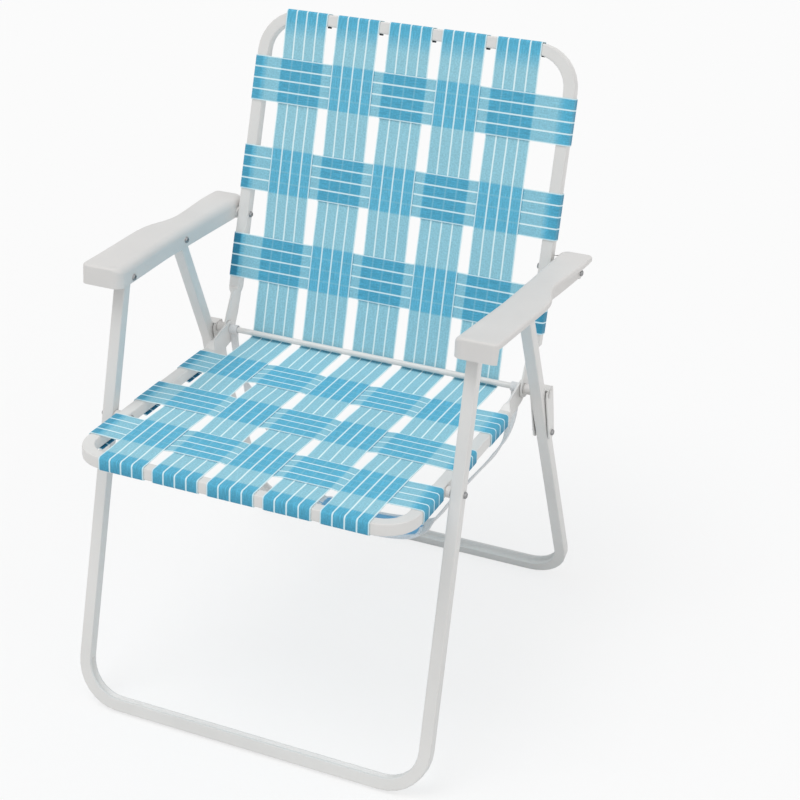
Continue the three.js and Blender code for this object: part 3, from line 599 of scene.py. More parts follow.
def along_edge(places, run):
    """The sideways place at a run, on a smooth curve through an edge's places."""
    last = len(places) - 2
    i = next((k for k in range(last) if run < places[k + 1][0]), last)
    (r0, x0), (r1, x1) = places[i], places[i + 1]

    def slope(k):
        low, high = places[max(k - 1, 0)], places[min(k + 1, last + 1)]
        return (high[1] - low[1]) / (high[0] - low[0])

    span = r1 - r0
    t = min(max((run - r0) / span, 0), 1)
    return hermite(t, x0, slope(i) * span, x1, slope(i + 1) * span)


def ease(value, start=0.0, end=1.0):
    """From 0 to 1 while the value goes from start to end, slow at both."""
    share = min(max((value - start) / (end - start), 0.0), 1.0)
    return share * share * (3 - 2 * share)


# The two woven faces. Each one's run starts at the hinge, and its tubes lie on its sign side: behind the
# back, below the seat. Its tones are painted shade: a crossing's, where two layers let less light through,
# on a long strap and on a cross strap, then, for each cross strap, the shade painted where it wraps a side
# tube, darkest on the back's lowest row.
def face(place, run, rows, half, sign, end_pitch, end_shift, shade_tones, side_shade_tones, tail, droop):
    return SimpleNamespace(
        place=place, run=run, rows=rows, half=half, sign=sign, end_pitch=end_pitch, end_shift=end_shift,
        shade_tones=shade_tones, side_shade_tones=side_shade_tones, tail=tail, droop=droop,
        middle=TUBE_OFFSET * sign, near=(TUBE_OFFSET - STRAP_LIFT) * sign,
        far=(TUBE_OFFSET + STRAP_LIFT) * sign,
    )


BACK = face(
    back_point, BACK_HEIGHT, (0.1020, 0.2245, 0.3470), 0.218, 1, 0.0755, -0.0068,
    (0.46, 0.61), (0.92, 0.72, 0.62), STRAP_TAIL, 0.0,
)
SEAT = face(
    seat_point, SEAT_DEPTH, (0.1000, 0.2110, 0.3180), 0.2125, -1, 0.0729, 0.0,
    (0.50, 0.50), (0.7, 0.7, 0.7), 0.018, 0.0020,
)


# Moves along the flattened ends of the tubes, as (run from the hinge, shift)
PINCHED = {
    "back": (BACK, ((0.034, 0.014), (0.048, 0.005), (0.062, -0.005))),
    "seat": (SEAT, ((0.030, 0.016), (0.044, 0.008))),
}


def long_places(side, share):
    """The long straps' sideways places, at a share of a face's run."""
    pitch = PITCH_AT_ROD + (side.end_pitch - PITCH_AT_ROD) * share
    return [(i - (LONG_COUNT - 1) / 2) * pitch + side.end_shift * share for i in range(LONG_COUNT)]


def passes_behind(strap, row):
    """+1 where a long strap passes a row on the far side of the back, or on top of the seat."""
    return -1 if (strap + row) % 2 == 0 else 1


def woven_level(place, zones, level, half):
    """How far out a strap's middle line lies: flat at each crossing and eased between them."""
    marks = [(zones[0][0] - half - WEAVE_RUN_OUT, 0.0)]
    for middle, side in zones:
        marks += [(middle - half, side), (middle + half, side)]
    marks.append((zones[-1][0] + half + WEAVE_RUN_OUT, 0.0))
    for (start, low), (end, high) in zip(marks, marks[1:]):
        if start <= place <= end:
            return level + WEAVE_LIFT * (low + (high - low) * ease(place, start, max(end, start + 1e-9)))
    return level


def round_edge(reach, middle, sign, shade_tones):
    """Round the outer edge of a tube, from its sign side to the other one: (reach, out, tone), where the
    tone is painted shade.
    """
    quarter = sign * math.pi / 2
    return [
        (
            reach + TURN_INSET + TURN_RADIUS * math.cos(first - quarter * i / 6),
            middle + way * TURN_INSET + TURN_RADIUS * math.sin(first - quarter * i / 6), tone,
        )
        for way, first, tone in ((sign, quarter, shade_tones[0]), (-sign, 0, shade_tones[1])) for i in range(7)
    ]


def spaced(start, end, zones, half):
    """Places from start to end, close together, with a pair at each edge of each crossing."""
    count = max(2, round(abs(end - start) / STATION_STEP))
    places = [start + (end - start) * i / count for i in range(count + 1)]
    for middle, _ in zones:
        for edge in (middle - half, middle + half):
            places += [edge - SOFT_EDGE, edge + SOFT_EDGE]
    low, high = min(start, end), max(start, end)
    return sorted({round(p, 6) for p in places if low <= p <= high}, reverse=start > end)


def crossing_at(place, zones, half):
    """Where in a crossing this place lies, from 0 to 1 over the other strap's width, or -1."""
    for middle, _ in zones:
        if abs(place - middle) < half:
            return (place - middle + half) / (2 * half)
    return -1.0


def strap_mesh(name, stations, width, thickness, columns=STRAP_COLUMNS, closed=False):
    """A strap from a grid whose rows are set at its stations: (middle, across, tone, under). The tone
    becomes the painted shade attribute; under marks where another strap's lines show through as painted
    light.
    """
    bpy.ops.mesh.primitive_grid_add(
        x_subdivisions=len(columns) - 1, y_subdivisions=len(stations) - 1, size=2, calc_uvs=True
    )
    obj = added(name)
    mesh = obj.data
    mesh.uv_layers[0].name = "Weave"
    lengths = [0.0]
    for (before, *_), (here, *_) in zip(stations, stations[1:]):
        lengths.append(lengths[-1] + (here - before).length)
    if len(mesh.vertices) != len(columns) * len(stations):
        raise RuntimeError(f"{name}: the grid has {len(mesh.vertices)} points")
    tone = mesh.attributes.new("PaintedShade", "FLOAT", "POINT")
    under = mesh.attributes.new("Under", "FLOAT", "POINT")
    places = {}
    for vertex in mesh.vertices:
        i = round((vertex.co.x + 1) / 2 * (len(columns) - 1))
        j = round((vertex.co.y + 1) / 2 * (len(stations) - 1))
        middle, across, tone_here, under_here = stations[j]
        places[vertex.index] = (columns[i], lengths[j])
        vertex.co = middle + across * (columns[i] - 0.5) * width
        tone.data[vertex.index].value = tone_here
        under.data[vertex.index].value = under_here
    uvs = mesh.uv_layers["Weave"].data
    for loop in mesh.loops:
        uvs[loop.index].uv = places[loop.vertex_index]
    if closed:
        with editing(obj):
            bpy.ops.mesh.remove_doubles(threshold=0.00005)
    apply_modifier(obj, "SOLIDIFY", thickness=thickness, offset=0)
    smooth(obj, 50)
    return obj, lengths[-1]


def long_strap_stations(strap, width):
    """Round the top bar, down the back, behind and under the rod, along the seat and round its bar."""
    step = strap - (LONG_COUNT - 1) / 2
    half = width / 2
    at_rod = step * PITCH_AT_ROD
    sideways = Vector((1, 0, 0))
    stations = []

    def lay(side, run, out, tone, under=-1.0):
        share = min(max(run / side.run, 0), 1)
        x = at_rod + (step * side.end_pitch + side.end_shift - at_rod) * share
        stations.append((side.place(x, run, out), sideways, tone, under))

    def weave(side, start, end, shade_between):
        zones = [(row, passes_behind(strap, i + 1)) for i, row in enumerate(side.rows)]
        for run in spaced(start, end, zones, half):
            under = crossing_at(run, zones, half)
            tone = side.shade_tones[0] if under >= 0 else shade_between(run)
            lay(side, run, woven_level(run, zones, side.near, half), tone, under)

    def turn(side, shade_tones):
        for run, out, tone in round_edge(side.run, side.middle, 1, shade_tones):
            lay(side, run, out, tone)

    # Painted shade: the tail tucked under the top bar is darkest, and the strap round the bar is shaded.
    lay(BACK, BACK.run + STRAP_LIFT - STRAP_TAIL, BACK.far, 0.9)
    turn(BACK, (0.66, 0.56))
    lay(BACK, BACK.run - TUBE / 2 + 0.0005, BACK.near, 0.46)
    below_bar = BACK.run - TUBE / 2 - TUBE_CORNER
    # Painted shade just below the top bar, fading away down the back
    weave(BACK, below_bar, 0.004, lambda run: 0.36 * (1 - ease(below_bar - run, 0, SHADE_FADE)))
    # Painted shade where the strap passes behind and under the rod
    for i in range(9):
        angle = -BACK_LEAN + (BACK_LEAN - SEAT_RISE - math.pi / 2) * i / 8
        place = HINGE + Vector((at_rod, ROD_RADIUS * math.cos(angle), ROD_RADIUS * math.sin(angle)))
        stations.append((place, sideways, 0.25, -1.0))
    # Outside the crossings the seat has only a faint painted shade
    weave(SEAT, 0.004, SEAT.run - TUBE / 2 - TUBE_CORNER, lambda run: 0.03)
    # Painted shade round the seat's front bar, darkest on the tail under it
    lay(SEAT, SEAT.run - TUBE / 2 + 0.0005, SEAT.near, 0.5)
    turn(SEAT, (0.58, 0.74))
    lay(SEAT, SEAT.run + STRAP_LIFT - STRAP_TAIL, SEAT.far, 0.9)
    return stations


def cross_strap_stations(side, row, zones, side_shade_tone, width):
    """Under one side tube, round it, over and under the long straps, and round the other side tube."""
    half = width / 2
    tip = side.half + STRAP_LIFT - side.tail

    def strap_end(shade_tones):
        """From the inner edge of a side tube, round it and back under it: (sideways, out, tone, under),
        where the tone is painted shade.
        """
        # Painted shade darkens the strap towards the side tube, round it, and most of all on the tail under
        # it.
        places = [
            (side.half - TUBE / 2 - 0.001, side.near, 0.25), (side.half - 0.0045, side.near, 0.42),
            (side.half - 0.0015, side.near, shade_tones[0]),
            *round_edge(side.half, side.middle, -side.sign, shade_tones[1:]),
            (tip + side.tail / 2, side.far, 0.95),
            (tip + side.tail / 4, side.far + side.sign * side.droop * 0.4, 0.95),
            (tip, side.far + side.sign * side.droop, 0.95),
        ]
        return [(*place, -1.0) for place in places]

    profile = [(-x, *rest) for x, *rest in reversed(strap_end((side_shade_tone, side_shade_tone, 0.95)))]
    inner = side.half - TUBE / 2 - 0.003
    for x in spaced(-inner, inner, zones, half):
        under = crossing_at(x, zones, half)
        level = woven_level(x, zones, side.near, half)
        # Painted shade: the crossings take the face's crossing tone, the rest a faint one.
        profile.append((x, level, side.shade_tones[1] if under >= 0 else 0.1, under))
    profile += strap_end((side_shade_tone * 0.8, side_shade_tone * 0.9, 0.9))
    along = side.place(0, 1, 0) - HINGE
    return [(side.place(x, row, out), along, tone, under) for x, out, tone, under in profile]


# The carry strap's route
def carry_points(count=97, steps=24):
    """Points at even spacing along the strap's smooth route, from the right loop to the left one."""
    right = [Vector((x, 0, -below)) for x, below in CARRY_ROUTE]
    left = [Vector((-p.x, 0, p.z)) for p in reversed(right)]
    knots = [*right, Vector((0, 0, right[-1].z - PAD_SAG)), *left]
    knots = [knots[0] * 2 - knots[1], *knots, knots[-1] * 2 - knots[-2]]
    fine = []
    for before, here, there, after in zip(knots, knots[1:], knots[2:], knots[3:]):
        first, middle, last = [
            (b - a).length ** 0.5 for a, b in ((before, here), (here, there), (there, after))
        ]
        leave = (here - before) / first - (there - before) / (first + middle) + (there - here) / middle
        arrive = (there - here) / middle - (after - here) / (middle + last) + (after - there) / last
        fine += [hermite(k / steps, here, leave * middle, there, arrive * middle) for k in range(steps)]
    fine.append(knots[-2])
    lengths = [0.0]
    for a, b in zip(fine, fine[1:]):
        lengths.append(lengths[-1] + (b - a).length)
    points, j = [], 0
    for i in range(count):
        want = lengths[-1] * i / (count - 1)
        while j < len(lengths) - 2 and lengths[j + 1] < want:
            j += 1
        share = (want - lengths[j]) / (lengths[j + 1] - lengths[j])
        points.append(HINGE + fine[j].lerp(fine[j + 1], share))
    return points, lengths[-1]


def edge_on(points, i):
    """The direction of the band's width at a point, before it turns flat."""
    heading = points[min(i + 1, len(points) - 1)] - points[max(i - 1, 0)]
    return DEPTHWAYS.cross(heading).normalized()


class LAWNCHAIR_OT_stage(Operator):
    """Sets the camera of the photograph, a pale floor and soft light"""
    bl_idname = "lawn_chair.stage"
    bl_label = "Camera, floor and light"

    def execute(self, context):
        settings = context.scene.lawn_chair_stage
        turn, tip, roll = (math.radians(angle) for angle in CAMERA_TURNS)
        right = Vector((math.cos(turn), math.sin(turn), 0))
        forward = Vector((-math.sin(turn) * math.cos(tip), math.cos(turn) * math.cos(tip), -math.sin(tip)))
        up = right.cross(forward)
        aside, above, away = CAMERA_PLACE
        place = Vector((0, HINGE.y, 0)) + right * aside + up * above - forward * away
        rolled = right * math.cos(roll) + up * math.sin(roll)
        upright = up * math.cos(roll) - right * math.sin(roll)
        bpy.ops.object.camera_add(location=place)
        camera = context.object
        camera.name = "photo_camera"
        turned = Matrix((rolled, upright, -forward)).transposed().to_4x4()
        camera.matrix_world = Matrix.Translation(place) @ turned
        camera.data.sensor_width = 36
        camera.data.lens = CAMERA_FOCAL * 36 / PICTURE
        camera.data.shift_x = 0.5 - CAMERA_CENTRE[0] / PICTURE
        camera.data.shift_y = CAMERA_CENTRE[1] / PICTURE - 0.5
        context.scene.camera = camera
        context.scene.view_settings.view_transform = "Standard"

        bpy.ops.mesh.primitive_plane_add(size=24, location=(0, 0, -0.0004))
        floor = context.object
        floor.name = "floor"
        material, tree, shader = new_material("floor_pale")
        set_sockets(shader, Base_Color=(*settings.floor, 1), Roughness=0.9, Specular_IOR_Level=0.1)
        glow = add_node(tree, "ShaderNodeEmission")
        mixed = add_node(tree, "ShaderNodeMixShader")
        seen = add_node(tree, "ShaderNodeLightPath").outputs["Is Camera Ray"]
        link(tree, math_node(tree, "MULTIPLY", seen, settings.whiten), mixed.inputs[0])
        link(tree, shader.outputs[0], mixed.inputs[1])
        link(tree, glow.outputs[0], mixed.inputs[2])
        link(tree, mixed.outputs[0], tree.nodes["Material Output"].inputs["Surface"])
        floor.data.materials.append(material)

        world = context.scene.world or bpy.data.worlds.new("studio")
        context.scene.world = world
        world.use_nodes = True
        tree = world.node_tree
        tree.nodes.clear()
        path = add_node(tree, "ShaderNodeLightPath")
        seen = math_node(
            tree, "MAXIMUM", path.outputs["Is Camera Ray"],
            math_node(tree, "MAXIMUM", path.outputs["Is Glossy Ray"], path.outputs["Is Transmission Ray"]),
        )
        strength = ranged(tree, seen, 0, 1, settings.world, 1.0)
        background = add_node(tree, "ShaderNodeBackground")
        set_sockets(background, Color=(1, 1, 1, 1))
        link(tree, strength, background.inputs["Strength"])
        output = add_node(tree, "ShaderNodeOutputWorld")
        link(tree, background.outputs[0], output.inputs["Surface"])

        for name, strength, wide, tilt in (
            ("key", settings.key, 34, (math.radians(20), 0, math.radians(-38))),
            ("fill", settings.fill, 60, (math.radians(62), 0, math.radians(74))),
        ):
            bpy.ops.object.light_add(type="SUN", rotation=tilt, location=(0, 0, 3))
            lamp = context.object
            lamp.name = name
            lamp.data.energy = strength
            lamp.data.angle = math.radians(wide)
        return {"FINISHED"}


class LAWNCHAIR_OT_carry_strap(Operator):
    """Hangs the carry strap from the rod: its band, its two loops and its pad"""
    bl_idname = "lawn_chair.carry_strap"
    bl_label = "Carry strap"

    def execute(self, context):
        settings = context.scene.lawn_chair_carry
        cloth = material_for("carry_band", band_cloth, settings.band, settings.band, 0.04, (12, 500))
        points, length = carry_points()
        narrowed = settings.loop_width / settings.width
        stations = []
        for i, point in enumerate(points):
            share = i / (len(points) - 1)
            from_end = min(share, 1 - share)
            turned = ease(from_end, *TURN_SPAN) * math.pi / 2
            turned = turned if share < 0.5 else math.pi - turned
            turned += BAND_TILT * ease(from_end, *BAND_TILT_SPAN)
            turned -= (BAND_TILT + PAD_TILT) * ease(from_end, *PAD_TILT_SPAN)
            wide = edge_on(points, i) * math.cos(turned) + DEPTHWAYS * math.sin(turned)
            wide *= narrowed + (1 - narrowed) * ease(from_end, *WIDEN_SPAN)
            stations.append((point, wide, 0.0, -1.0))
        band, _ = strap_mesh("carry_band", stations, settings.width, settings.thickness, BAND_COLUMNS)
        wear(band, cloth)
        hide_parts("carry_strap")
        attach(band, "back")

        for side, name in ((1, "right"), (-1, "left")):
            middle = HINGE + Vector((side * CARRY_ROUTE[0][0], 0, 0))
            angles = [math.tau * i / 28 for i in range(29)]
            turns = [
                (middle + LOOP_RADIUS * Vector((0, math.sin(a), math.cos(a))), Vector((1, 0, 0)), 0.0, -1.0)
                for a in angles
            ]
            loop, _ = strap_mesh(f"carry_loop_{name}", turns, settings.loop_width, LOOP_THICK, closed=True)
            wear(loop, cloth)
            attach(loop, "back")

        pad = self.pad(settings, points, length)
        return {"FINISHED"}

    def pad(self, settings, points, length):
        """A soft sleeve with a crown, thin at its ends, bent along the strap."""
        bpy.ops.mesh.primitive_cube_add(size=2)
        pad = added("carry_shoulder_pad")
        with editing(pad):
            bpy.ops.mesh.subdivide(number_cuts=23)
        uvs = pad.data.uv_layers[0]
        uvs.name = "Weave"
        places = {}
        for vertex in pad.data.vertices:
            along, across, up = vertex.co
            # A soft outline: round ends in plan, and a crown that thins to the rim
            round_end = 0.20 * (1 - math.sqrt(1 - 0.94 * across**2)) * along**4
            narrowed = math.sqrt(1 - 0.20 * across**2 * along**6) * (1 - 0.08 * along**8)
            plan = (along * (1 - round_end), across * narrowed)
            crown = (1 - abs(plan[0]) ** 5) ** 0.5 * (1 - 0.93 * abs(plan[1]) ** 3.4) ** 0.5
            index = (0.5 + plan[0] * PAD_LENGTH / length / 2) * (len(points) - 1)
            low = int(index)
            upward = edge_on(points, round(index))
            wide = DEPTHWAYS * math.cos(PAD_TILT) + upward * math.sin(PAD_TILT)
            thick = upward * math.cos(PAD_TILT) - DEPTHWAYS * math.sin(PAD_TILT)
            vertex.co = (
                points[low].lerp(points[low + 1], index - low)
                + wide * plan[1] * PAD_WIDTH / 2 + thick * up * max(crown, 0.34) * PAD_THICKNESS / 2
            )
            inward = min(1 - abs(across), (1 - abs(along)) * PAD_LENGTH / PAD_WIDTH)
            places[vertex.index] = (0.5 + math.copysign(1 - inward, across) / 2, along * PAD_LENGTH / 2)
        for loop in pad.data.loops:
            uvs.data[loop.index].uv = places[loop.vertex_index]
        with editing(pad):
            bpy.ops.mesh.normals_make_consistent(inside=False)
        smooth(pad, 70)
        cloth = material_for("pad_cloth", band_cloth, settings.pad, settings.edge, 0.13, (22, 1 / 0.0018))
        wear(pad, cloth)
        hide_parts("carry_pad")
        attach(pad, "back")
        return pad


class LAWNCHAIR_OT_tubes(Operator):
    """Makes the four bent tube frames, with the creases that bending leaves inside the leg corners"""
    bl_idname = "lawn_chair.tubes"
    bl_label = "Tube frames"

    def execute(self, context):
        for node, body in (
            ("back_frame", "back"), ("seat_frame", "seat"),
            ("front_leg_frame", "front_legs"), ("rear_leg_frame", "rear_legs"),
        ):
            obj = merged_copy(node, node.replace("frame", "tube"))
            if body in PINCHED:
                self.pinch(obj, *PINCHED[body])
            if body in LEG_HALVES:
                self.crease(obj, LEG_HALVES[body])
            finish_metal(obj, node, body, paint())
        return {"FINISHED"}

    def pinch(self, obj, side, moves):
        """Lengthens the flattened ends of the tube, so that each ends in a short knuckle."""
        heading = side.place(0, 1, 0) - HINGE
        for vertex in obj.data.vertices:
            run = (vertex.co - HINGE).dot(heading)
            for at, shift in moves:
                if abs(run - at) < 0.0008:
                    vertex.co += heading * shift

    def crease(self, obj, half):
        """Presses in the inner face of each bottom bend, as the bending tool does."""
        points = [v.co.copy() for v in obj.data.vertices]
        low, high = min(p.z for p in points), max(p.z for p in points)
        foot = [p for p in points if p.z < low + 0.004]
        head = [p for p in points if p.z > high - 0.004]
        up = sum(head, Vector()) / len(head) - sum(foot, Vector()) / len(foot)
        up.x = 0
        up.normalize()
        centre_up = min(p.dot(up) for p in points) + TUBE / 2 + LEG_BEND
        centre_x = half - LEG_BEND

        def inside_bend(middle, normal):
            x, height = abs(middle.x), middle.dot(up)
            if x < centre_x or height > centre_up:
                return False
            inward = Vector((centre_x - x, centre_up - height)).normalized()
            return Vector((math.copysign(1, middle.x) * normal.x, normal.dot(up))).dot(inward) > 0.96

        with editing(obj):
            select_faces(obj, inside_bend)
            bpy.ops.mesh.inset(thickness=0.0012, depth=0)
            bpy.ops.mesh.inset(thickness=0.0030, depth=-CREASE_DEPTH)


class LAWNCHAIR_OT_hinges(Operator):
    """Makes the rod, its spacers and the two hinge brackets"""
    bl_idname = "lawn_chair.hinges"
    bl_label = "Rod and hinge brackets"

    def execute(self, context):
        rod = merged_copy("pivot_rod", "hinge_rod")
        finish_metal(rod, "pivot_rod", "back", paint())
        for side in ("left", "right"):
            bracket = merged_copy(f"hinge_bracket_{side}", f"folding_bracket_{side}")
            self.flatten(bracket)
            finish_metal(bracket, f"hinge_bracket_{side}", "links", paint())
            for node, body in ((f"hinge_spacer_{side}", "back"), (f"seat_spacer_{side}", "seat")):
                ring = merged_copy(node, node.replace("spacer", "collar"))
                finish_metal(ring, node, body, arm_plastic())
        return {"FINISHED"}

    def flatten(self, bracket):
        """Cuts the rounded tops of the plates flat and lays the cap between them, just over the rod."""
        cap = [v.co.copy() for v in bracket.data.vertices if v.co.z > HINGE.z + SOLID_CAP_UNDER]
        low = Vector([min(p[i] for p in cap) for i in range(3)])
        high = Vector([max(p[i] for p in cap) for i in range(3)])
        with editing(bracket):
            bpy.ops.mesh.bisect(
                plane_co=(0, 0, HINGE.z + CAP_UNDER + 0.0004), plane_no=(0, 0, 1), use_fill=True,
                clear_outer=True,
            )
            bpy.ops.mesh.select_all(action="DESELECT")
            bpy.ops.mesh.primitive_cube_add(
                size=1, scale=(high.x - low.x, high.y - low.y, CAP_THICK),
                location=((low.x + high.x) / 2, (low.y + high.y) / 2, HINGE.z + CAP_UNDER + CAP_THICK / 2),
            )
            bpy.ops.mesh.bevel(offset=0.0005, segments=2, affect="EDGES")


class LAWNCHAIR_OT_rivets(Operator):
    """Makes the rivets, each with the hollow that its tool leaves in the head"""
    bl_idname = "lawn_chair.rivets"
    bl_label = "Rivets"

    def execute(self, context):
        for kind, body in (
            ("arm_back_rivet", "arms"), ("arm_front_leg_rivet", "arms"), ("arm_rear_leg_rivet", "arms"),
            ("front_leg_rivet", "front_legs"), ("seat_rivet", "seat"), ("rear_leg_bush", "rear_legs"),
            ("bracket_outer_rivet", "links"), ("bracket_inner_rivet", "links"),
        ):
            for side in ("left", "right"):
                node = f"{kind}_{side}"
                obj = merged_copy(node, node.replace("rivet", "stud").replace("bush", "sleeve"))
                way = -1 if side == "left" else 1
                if kind == "arm_back_rivet":
                    base = min(way * v.co.x for v in obj.data.vertices if way * v.co.x > OUTER_HEAD)
                    self.move_head(obj, way, (OUTER_HEAD, 1), ARM_LUG_FACE + 0.0003 - base)
                if kind == "arm_front_leg_rivet":
                    self.move_head(obj, way, (0, INNER_HEAD), INNER_HEAD_SHIFT)
                if kind != "rear_leg_bush":
                    self.narrow(obj)
                    self.hollow(obj)
                finish_metal(obj, node, body, rivet_metal())
                if kind != "rear_leg_bush":
                    self.paint_hollow_shade(obj)
        return {"FINISHED"}

    def ends(self, obj):
        """Both ends of a rivet, as (sideways place, the way that it faces)."""
        places = [vertex.co.x for vertex in obj.data.vertices]
        return (min(places), -1), (max(places), 1)

    def paint_hollow_shade(self, obj):
        """Paints shade on the floor of each hollow, in the screws' dark colour, where the recess falls into
        shade.
        """
        obj.data.materials.append(screw_metal_and_hollow_shade())
        ends = self.ends(obj)
        for face in obj.data.polygons:
            for end, way in ends:
                off_floor = abs((end - face.center.x) * way - HOLLOW_DEPTH)
                if off_floor < 0.0002 and face.normal.x * way > 0.9:
                    face.material_index = 1

    def move_head(self, obj, way, span, shift):
        """Lengthens a rivet so that the head between two sideways places reaches the moulded arm."""
        with editing(obj):
            select_points(obj, lambda place: span[0] < way * place.x < span[1])
            bpy.ops.transform.translate(value=(way * shift, 0, 0))

    def narrow(self, obj):
        """Draws in the heads a little, down to what the pressing leaves."""
        points = [v.co for v in obj.data.vertices]
        middle = Vector([(min(p[i] for p in points) + max(p[i] for p in points)) / 2 for i in range(3)])
        reach = max(math.hypot(p.y - middle.y, p.z - middle.z) for p in points)
        for vertex in obj.data.vertices:
            out = Vector((0, vertex.co.y - middle.y, vertex.co.z - middle.z))
            if out.length > reach * 0.8:
                vertex.co -= out * (1 - HEAD_SHARE)

    def hollow(self, obj):
        """Sinks the flat top of each head."""
        ends = self.ends(obj)
        with editing(obj):
            for end, way in ends:
                select_faces(
                    obj, lambda middle, normal: abs(middle.x - end) < 0.00005 and normal.x * way > 0.9
                )
                bpy.ops.mesh.inset(thickness=HOLLOW_RIM, depth=0.0)
                bpy.ops.mesh.inset(thickness=0.0004, depth=-HOLLOW_DEPTH)


class LAWNCHAIR_OT_screws(Operator):
    """Makes the small dark screws under the top bar that hold the ends of the long straps"""
    bl_idname = "lawn_chair.screws"
    bl_label = "Strap screws"

    def execute(self, context):
        width = context.scene.lawn_chair_webbing.width
        beside, below, ahead = SCREW_PLACE
        turned = Vector((0, 0, 1)).rotation_difference(back_point(0, 1, 0) - HINGE).to_matrix().to_4x4()
        for strap, x in enumerate(long_places(BACK, 1)):
            place = back_point(x + width / 2 + beside, BACK.run - TUBE / 2 - below, TUBE_OFFSET - ahead)
            bpy.ops.mesh.primitive_cylinder_add(vertices=20, radius=SCREW_RADIUS, depth=SCREW_LENGTH)
            screw = added(f"strap_screw_{strap + 1}")
            with editing(screw):
                select_faces(screw, lambda middle, normal: normal.z < -0.9)
                bpy.ops.mesh.bevel(offset=0.0005, segments=3, affect="EDGES")
                select_faces(screw, lambda middle, normal: normal.z < -0.99)
                bpy.ops.mesh.inset(thickness=0.0007, depth=-0.0005)
            screw.data.transform(Matrix.Translation(place) @ turned)
            smooth(screw, 40)
            wear(screw, screw_metal_and_hollow_shade())
            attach(screw, "back")
        return {"FINISHED"}


